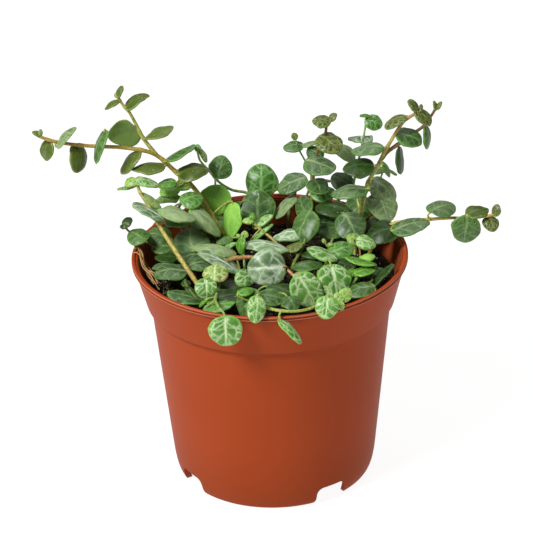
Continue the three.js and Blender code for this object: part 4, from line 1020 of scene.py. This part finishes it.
def bladePlaces(tree, told):
    # where each place of the unit disc lies on its own leaf
    along, across, skin = add(tree, "ShaderNodeSeparateXYZ", (told["leafPlace"],), out=None)
    halfLength, halfWidth, twist = add(tree, "ShaderNodeSeparateXYZ", (told["leafSize"],), out=None)
    # the front half narrows towards the tip
    ahead = add(tree, "ShaderNodeMath", (along, 0.0), operation="MAXIMUM")
    ahead = add(tree, "ShaderNodeMath", (ahead, ahead), operation="MULTIPLY")
    narrowing = add(tree, "ShaderNodeMath", (ahead, told["leafTaper"]), operation="MULTIPLY")
    slim = add(tree, "ShaderNodeMath", (1.0, narrowing), operation="SUBTRACT")
    over = add(tree, "ShaderNodeMath", (across, slim), operation="MULTIPLY")
    # each leaf has its own ripple and uneven outline, which grow outwards from its middle
    shift = add(tree, "ShaderNodeVectorMath", {0: (9.1, 4.3, 6.7), "Scale": told["leafSeed"]},
                operation="SCALE")
    own = add(tree, "ShaderNodeVectorMath", (told["leafPlace"], shift), operation="ADD")
    waves = add(tree, "ShaderNodeTexNoise", {"Vector": own, "Scale": 0.95, "Detail": 1}, out="Color")
    waves = add(tree, "ShaderNodeVectorMath", (waves, (0.5, 0.5, 0.5)), operation="SUBTRACT")
    square = add(tree, "ShaderNodeVectorMath", (told["leafPlace"], told["leafPlace"]), out="Value",
                 operation="DOT_PRODUCT")
    waves = add(tree, "ShaderNodeVectorMath", {0: waves, "Scale": square}, operation="SCALE")
    ripple, outline, _ = add(tree, "ShaderNodeSeparateXYZ", (waves,), out=None)
    outline = add(tree, "ShaderNodeMath", (outline, leafSizes["unevenness"], 1.0), operation="MULTIPLY_ADD")
    over = add(tree, "ShaderNodeMath", (over, outline), operation="MULTIPLY")
    # crown, valley, hooked tip, ripple and twist lift it
    away = add(tree, "ShaderNodeMath", (over,), operation="ABSOLUTE")
    valley = add(tree, "ShaderNodeMath", (away, leafSizes["valleyLevel"]), operation="SUBTRACT")
    hook = add(tree, "ShaderNodeMath", (along, along, -leafSizes["hookLevel"]), operation="MULTIPLY_ADD")
    bends = add(tree, "ShaderNodeCombineXYZ", (told["leafBow"], valley, hook))
    lift = add(tree, "ShaderNodeVectorMath", (bends, told["leafShape"]), out="Value",
               operation="DOT_PRODUCT")
    lift = add(tree, "ShaderNodeMath", (ripple, leafSizes["ripple"], lift), operation="MULTIPLY_ADD")
    turned = add(tree, "ShaderNodeMath", (along, over), operation="MULTIPLY")
    turned = add(tree, "ShaderNodeMath", (turned, twist, lift), operation="MULTIPLY_ADD")
    height = add(tree, "ShaderNodeMath", (turned, halfWidth, skin), operation="MULTIPLY_ADD")
    ahead = add(tree, "ShaderNodeMath", (along, halfLength), operation="MULTIPLY")
    aside = add(tree, "ShaderNodeMath", (over, halfWidth), operation="MULTIPLY")
    spot = told["middle"]
    for axis, reach in (("tip", ahead), ("side", aside), ("face", height)):
        step = add(tree, "ShaderNodeVectorMath", {0: told[axis], "Scale": reach}, operation="SCALE")
        spot = add(tree, "ShaderNodeVectorMath", (spot, step), operation="ADD")
    return spot


def stalkSpot(tree, told):
    # where each point of a stalk lies on the bend from the blade to the stem
    t = add(tree, "GeometryNodeSplineParameter", out="Factor")
    ends = [told[label] for label in ("stalkTop", "stalkBend", "stalkFoot")]
    while len(ends) > 1:
        ends = [add(tree, "ShaderNodeMix", {0: t, 4: a, 5: b}, out=1, data_type="VECTOR")
                for a, b in zip(ends, ends[1:])]
    return ends[0]


def leafyStemTree():
    # Lays a blade and its stalk on every leaf point, and a round skin on every stem line.
    tree, given = newGeometryTree("leafyStem", {
        "Leaf": "Object", "Stalk radius": "Float", "Stem sides": "Int", "Bark": "Material",
        **{"Skin " + name: "Material" for name in lookNames}})
    kinds = {label: kind for label, (kind, _) in pointFields.items()}
    kinds.update(leafPlace="FLOAT_VECTOR", leafBow="FLOAT")
    told = {label: add(tree, "GeometryNodeInputNamedAttribute", {"Name": label}, data_type=kind)
            for label, kind in kinds.items()}
    leafPoints, stemLines = add(
        tree, "GeometryNodeSeparateGeometry", {"Geometry": given["Geometry"], 1: told["isLeaf"]}, out=None)
    # blades
    body = add(tree, "GeometryNodeObjectInfo", {"Object": given["Leaf"]}, out="Geometry")
    skins = add(tree, "GeometryNodeSetPosition", {
        "Geometry": laidOn(tree, leafPoints, body), "Position": bladePlaces(tree, told)})
    for index, name in enumerate(lookNames):
        chosen = add(tree, "FunctionNodeCompare", {2: told["look"], 3: index}, data_type="INT",
                     operation="EQUAL")
        skins = add(tree, "GeometryNodeSetMaterial", {
            "Geometry": skins, "Selection": chosen, "Material": given["Skin " + name]})
    # stalks, each a bent line from the blade's base to the stem
    line = add(tree, "GeometryNodeCurvePrimitiveLine", {"Start": (0, 0, 0), "End": (1, 0, 0)})
    line = add(tree, "GeometryNodeResampleCurve", {"Curve": line, "Count": 9})
    stalks = add(tree, "GeometryNodeSetPosition", {
        "Geometry": laidOn(tree, leafPoints, line), "Position": stalkSpot(tree, told)})
    girth = add(tree, "ShaderNodeMath", (given["Stalk radius"], told["stalkGirth"]), operation="MULTIPLY")
    stalks = tubeAlong(tree, stalks, leafSizes["stalkSides"], scale=girth)
    # stems
    lines = add(tree, "GeometryNodeMeshToCurve", {"Mesh": stemLines})
    tubes = tubeAlong(tree, lines, given["Stem sides"], scale=told["stemRadius"])
    green = add(tree, "GeometryNodeJoinGeometry", ([stalks, tubes],))
    whole = addedTo(tree, given["Bark"], green, skins)
    smooth = add(tree, "GeometryNodeSetShadeSmooth", {"Geometry": whole, "Shade Smooth": True})
    add(tree, "NodeGroupOutput", (smooth,), out=None)
    return tree


def throughPoints(points, steps):
    # a smooth line through the points
    padded = [points[0] * 2 - points[1], *points, points[-1] * 2 - points[-2]]
    line = []
    for a, b, c, d in zip(padded, padded[1:], padded[2:], padded[3:]):
        for k in range(steps):
            t = k / steps
            line.append((b * 2 + (c - a) * t + (a * 2 - b * 5 + c * 4 - d) * t ** 2 +
                         (b * 3 - a - c * 3 + d) * t ** 3) / 2)
    return line + [points[-1]]


def mixed(a, b, share):
    return [x + (y - x) * share for x, y in zip(a, b)]


def leafRow(name, number, blade, line, bark, low):
    # what a leaf's point tells the tree, and the stem point where its stalk ends
    s = leafSizes
    across, up, back, length, width, point, turn, lean, look = blade
    draw = random.Random(f"{name} {number}")
    middle, tip, side, face = bladeFrame(across, up, back, point, turn, lean)
    base = middle - tip * (length / 2)
    foot = min((i for i, place in enumerate(line) if place.z > low), key=lambda i: (line[i] - base).length)
    reach = (line[foot] - base).length
    crown = s["crown"] * width
    start = middle - tip * (length * s["stalkStart"]) - face * (crown * s["stalkUnder"])
    share = foot / (len(line) - 1)
    small = length < s["smallBelow"]
    valley = s["smallValley"] if small else s["valley"]
    length, width = length * s["fullness"], width * s["fullness"]
    return foot, {
        "isLeaf": True, "middle": middle * mm, "tip": tip, "side": side, "face": face,
        "leafSize": (length * mm / 2, width * mm / 2, draw.uniform(*s["twist"])),
        "leafShape": (s["bow"] * draw.uniform(*s["bowDraw"]), draw.uniform(*valley),
                      draw.uniform(*s["hook"])),
        "leafTaper": looks[look]["taper"] * draw.uniform(*s["taperDraw"]), "leafSeed": draw.random(),
        "look": lookNames.index(look), "stalkTop": start * mm, "stalkFoot": line[foot] * mm,
        "stalkBend": (base - tip * (s["stalkPull"] * reach) - face * (crown / 2)) * mm,
        "stalkGirth": s["smallStalk"] if small else 1.0,
        "barkTint": mixed(mixed(*bark, share), linear(s["stalkColour"]), s["stalkShare"]),
    }


def stemSketch(name, stem):
    # the rows of one stem's line, and of its leaves
    s, top = leafSizes, peatSizes["top"]
    route = [placeOf(*stop) for stop in stem["route"]]
    low = -math.inf  # a branch may carry a stalk anywhere, and a stem only above the peat
    if "root" in stem:
        x, y = stem["root"]
        route = [Vector((x, y, top - s["rootDepth"])), Vector((x, y, top + s["rootRise"]))] + route
        low = top + s["rootRise"] / 2
    line = throughPoints(route, s["stepsBetween"])
    bark = [linear(c) for c in stem["bark"]]
    joined = [leafRow(name, number, blade, line, bark, low) for number, blade in enumerate(stem["blades"])]
    rows = []
    for i, place in enumerate(line):
        share = i / (len(line) - 1)
        near = min([(place - line[foot]).length for foot, _ in joined], default=math.inf)
        swell = 1 + s["nodeSwell"] * math.exp(-(near / s["nodeReach"]) ** 2)
        radius = stem["thick"] / 2 * (1 - s["tipTaper"] * share) * swell * mm
        rows.append({"middle": place * mm, "stemRadius": radius, "barkTint": mixed(*bark, share)})
    return rows, [leaf for _, leaf in joined]


def makeStems():
    template, tree = leafTemplate(), leafyStemTree()
    skins = {"Skin " + name: waxyLeaf(name) for name in lookNames}
    bark = stemSkin()
    fields = {**pointFields, "barkTint": ("FLOAT_COLOR", None)}  # every point has its tint
    branches = {}
    for name, stem in stems.items():
        branches.setdefault(stem.get("branchOf", name), []).append(name)
    for owner, members in branches.items():
        rows, leaves, edges = [], [], []
        for name in members:
            line, lineLeaves = stemSketch(name, stems[name])
            start = len(rows)
            edges += [(start + i, start + i + 1) for i in range(len(line) - 1)]
            rows += line
            leaves += lineLeaves
        rows += leaves
        columns = {label: (kind, [row.get(label, blank) for row in rows])
                   for label, (kind, blank) in fields.items()}
        piece = newObject("leafyStem_" + owner, [row["middle"] for row in rows], edges, columns=columns)
        applyTree(piece, tree, {"Leaf": template, "Stalk radius": leafSizes["stalkRadius"] * mm,
                                "Stem sides": leafSizes["stemSides"], "Bark": bark, **skins})
        bake(piece, keep=("leafPlace", "leafUnder", "leafSeed", "barkTint"))
        settle(piece, "leaf_tissue", "stem_" + owner)
    bpy.data.objects.remove(template)
    print("plant: made,", len(branches), "stems")


def waxyLeaf(name):
    # A thick succulent leaf: a smooth waxy skin over wet tissue, so a broad soft gloss and light that goes
    # a little way inside. Its pale veins lie a little sunk, and it is paler underneath.
    s = looks[name]
    tints = {part: linear(s[part]) for part in ("dark", "light", "vein", "rim", "under")}
    material, tree, shader = newMaterial(
        "waxyLeaf_" + name, Roughness=s["roughness"], IOR=1.45, Specular_IOR_Level=0.34,
        Coat_Weight=s["coat"], Coat_Roughness=0.28, Subsurface_Weight=0.10,
        Subsurface_Radius=(0.5, 1.0, 0.25), Subsurface_Scale=0.8 * mm)
    place = add(tree, "ShaderNodeAttribute", out="Vector", attribute_name="leafPlace")
    seed = add(tree, "ShaderNodeAttribute", out="Fac", attribute_name="leafSeed")
    # each leaf has its own part of the patterns, and its veins wander with them
    shift = add(tree, "ShaderNodeVectorMath", {0: (13.1, 7.7, 3.3), "Scale": seed}, operation="SCALE")
    own = add(tree, "ShaderNodeVectorMath", (place, shift), operation="ADD")
    drift = add(tree, "ShaderNodeTexNoise", {"Vector": own, "Scale": 2.2, "Detail": 2}, out=None)
    bent = add(tree, "ShaderNodeVectorMath", (drift["Color"], (0.5, 0.5, 0.5)), operation="SUBTRACT")
    bent = add(tree, "ShaderNodeVectorMath", (bent, (0.3, 0.3, 0.3), place), operation="MULTIPLY_ADD")
    x, y, _ = add(tree, "ShaderNodeSeparateXYZ", (bent,), out=None)
    off = add(tree, "ShaderNodeMath", (y,), operation="ABSOLUTE")
    taper = add(tree, "ShaderNodeMath", (leafSizes["midribEnd"], x), operation="SUBTRACT")
    midrib = add(tree, "ShaderNodeMath", (off, taper), operation="DIVIDE")
    curve = add(tree, "ShaderNodeMath", (off, leafSizes["sideCurve"], leafSizes["sideSlant"]),
                operation="MULTIPLY_ADD")
    slant = add(tree, "ShaderNodeMath", (off, curve, x), operation="MULTIPLY_ADD")
    sides = add(tree, "ShaderNodeMath", (slant, s["apart"]), operation="PINGPONG")
    warped = add(tree, "ShaderNodeVectorMath", (bent, shift), operation="ADD")
    net = add(tree, "ShaderNodeTexVoronoi", {"Vector": warped, "Scale": s["cells"], "Randomness": 0.9},
              out="Distance", feature="DISTANCE_TO_EDGE")
    flat = add(tree, "ShaderNodeVectorMath", (place,), out="Value", operation="LENGTH")
    outer = add(tree, "ShaderNodeMapRange", (flat, 0.2, 0.7, 0.15))

    def pattern(spread):
        # net, midrib and side veins, each strongest on its line; the net grows stronger towards the margin
        shown = []
        for vein, distance in (("net", net), ("midrib", midrib), ("sides", sides)):
            width = leafSizes["veinWidth"][vein] * spread
            shown.append(add(tree, "ShaderNodeMapRange", (distance, 0.0, width, s[vein], 0.0),
                             interpolation_type="SMOOTHSTEP"))
        strongest = add(tree, "ShaderNodeMath", (shown[0], outer), operation="MULTIPLY")
        for other in shown[1:]:
            strongest = add(tree, "ShaderNodeMath", (strongest, other), operation="MAXIMUM")
        return strongest

    veins, halo = pattern(1), pattern(leafSizes["halo"])
    showing = add(tree, "ShaderNodeMapRange", (drift["Fac"], 0.32, 0.58, 0.5))
    veins = add(tree, "ShaderNodeMath", (veins, showing), operation="MULTIPLY")
    # the tissue is mottled, and paler beside its veins
    mottle = add(tree, "ShaderNodeTexNoise", {"Vector": own, "Scale": 1.3, "Detail": 3}, out="Fac")
    tone = add(tree, "ShaderNodeMath", (seed, 0.5, mottle), operation="MULTIPLY_ADD")
    tone = add(tree, "ShaderNodeMapRange", (tone, 0.45, 1.15))
    tone = add(tree, "ShaderNodeMath", (halo, 0.5, tone), operation="MULTIPLY_ADD", use_clamp=True)
    margin = add(tree, "ShaderNodeMapRange", (flat, 0.86, 0.97, 0.0, 0.85), interpolation_type="SMOOTHSTEP")
    colour = tints["dark"]
    for share, tint in ((tone, "light"), (veins, "vein"), (margin, "rim")):
        colour = add(tree, "ShaderNodeMix", {0: share, 6: colour, 7: tints[tint]}, out=2, data_type="RGBA")
    for mark in leafSizes["marks"]:
        colour = speckled(tree, colour, own, mark)
    lower = add(tree, "ShaderNodeAttribute", out="Fac", attribute_name="leafUnder")
    colour = add(tree, "ShaderNodeMix", {0: lower, 6: colour, 7: tints["under"]}, out=2, data_type="RGBA")
    # cells of 0.5 mm
    colour = flecked(tree, colour, scale=2200, detail=1, reach=(0.35, 0.7), shades=(0.88, 1.16))[0]
    dress(tree, shader, colour, halo, strength=0.7, depth=-0.3)
    return material


def stemSkin():
    # A soft green to brown stem skin: satin, with fine mottling of about 1 mm.
    material, tree, shader = newMaterial("stemSkin", Roughness=0.48, IOR=1.45, Subsurface_Weight=0.08,
                                         Subsurface_Radius=(1.0, 0.8, 0.3), Subsurface_Scale=0.5 * mm)
    tint = add(tree, "ShaderNodeAttribute", out="Color", attribute_name="barkTint")
    colour, flecks = flecked(tree, tint, scale=900, detail=3, reach=(0.35, 0.65), shades=(0.68, 1.2))
    dress(tree, shader, colour, flecks, strength=0.7, depth=0.25)
    return material


# The studio, in metres. The lens is given in pixels of the picture, and its sensor in mm.
studio = {
    "floorHalf": 4.0, "floorColour": "6b6a69", "floorGlow": 0.93, "worldStrength": 0.15, "aimHeight": 0.08,
    # each lamp: its power, its size and its place
    "lamps": {"key": (22.4, 0.5, (-0.72, -0.64, 1.15)), "fill": (0.3, 0.8, (0.9, -0.8, 0.6)),
              "top": (3, 0.9, (0.0, 0.35, 1.0))},
    "picturePixels": 533, "focalPixels": 2554, "sensor": 36, "nearest": 0.05, "farthest": 20,
}


def makeStudio():
    s = studio
    half = s["floorHalf"]
    floor = newObject("paleFloor", [(-half, -half, 0), (half, -half, 0), (half, half, 0), (-half, half, 0)],
                      faces=[(0, 1, 2, 3)])
    # Opal acrylic lit from behind: matt, evenly bright, and a little darker where the part shades it.
    white = newMaterial("backlitOpalAcrylic", Base_Color=linear(s["floorColour"]), Roughness=0.9,
                        Emission_Color=(1, 1, 1, 1), Emission_Strength=s["floorGlow"])[0]
    floor.data.materials.append(white)
    world = bpy.data.worlds.new("softRoom")
    world.use_nodes = True
    background = world.node_tree.nodes["Background"]
    background.inputs["Color"].default_value = (1, 1, 1, 1)
    background.inputs["Strength"].default_value = s["worldStrength"]
    scene = bpy.context.scene
    scene.world = world
    scene.view_settings.view_transform = "Standard"
    for name, (power, size, place) in s["lamps"].items():
        light = bpy.data.lights.new(name + "Light", "AREA")
        light.shape, light.size, light.energy = "DISK", size, power
        lamp = bpy.data.objects.new(name + "Light", light)
        lamp.location = place
        aim = Vector((0, 0, s["aimHeight"])) - lamp.location
        lamp.rotation_euler = aim.to_track_quat("-Z", "Y").to_euler()
        scene.collection.objects.link(lamp)
    camera = bpy.data.objects.new("camera", bpy.data.cameras.new("camera"))
    camera.data.sensor_width = s["sensor"]
    camera.data.lens = s["focalPixels"] / s["picturePixels"] * s["sensor"]
    camera.data.clip_start, camera.data.clip_end = s["nearest"], s["farthest"]
    camera.matrix_world = Matrix((
        (drawingRight.x, drawingUp.x, towardsViewer.x, eye.x * mm),
        (drawingRight.y, drawingUp.y, towardsViewer.y, eye.y * mm),
        (drawingRight.z, drawingUp.z, towardsViewer.z, eye.z * mm),
        (0, 0, 0, 1)))
    scene.collection.objects.link(camera)
    scene.camera = camera
    print("studio: made")


makePot()
makePeat()
makeStems()
makeStudio()
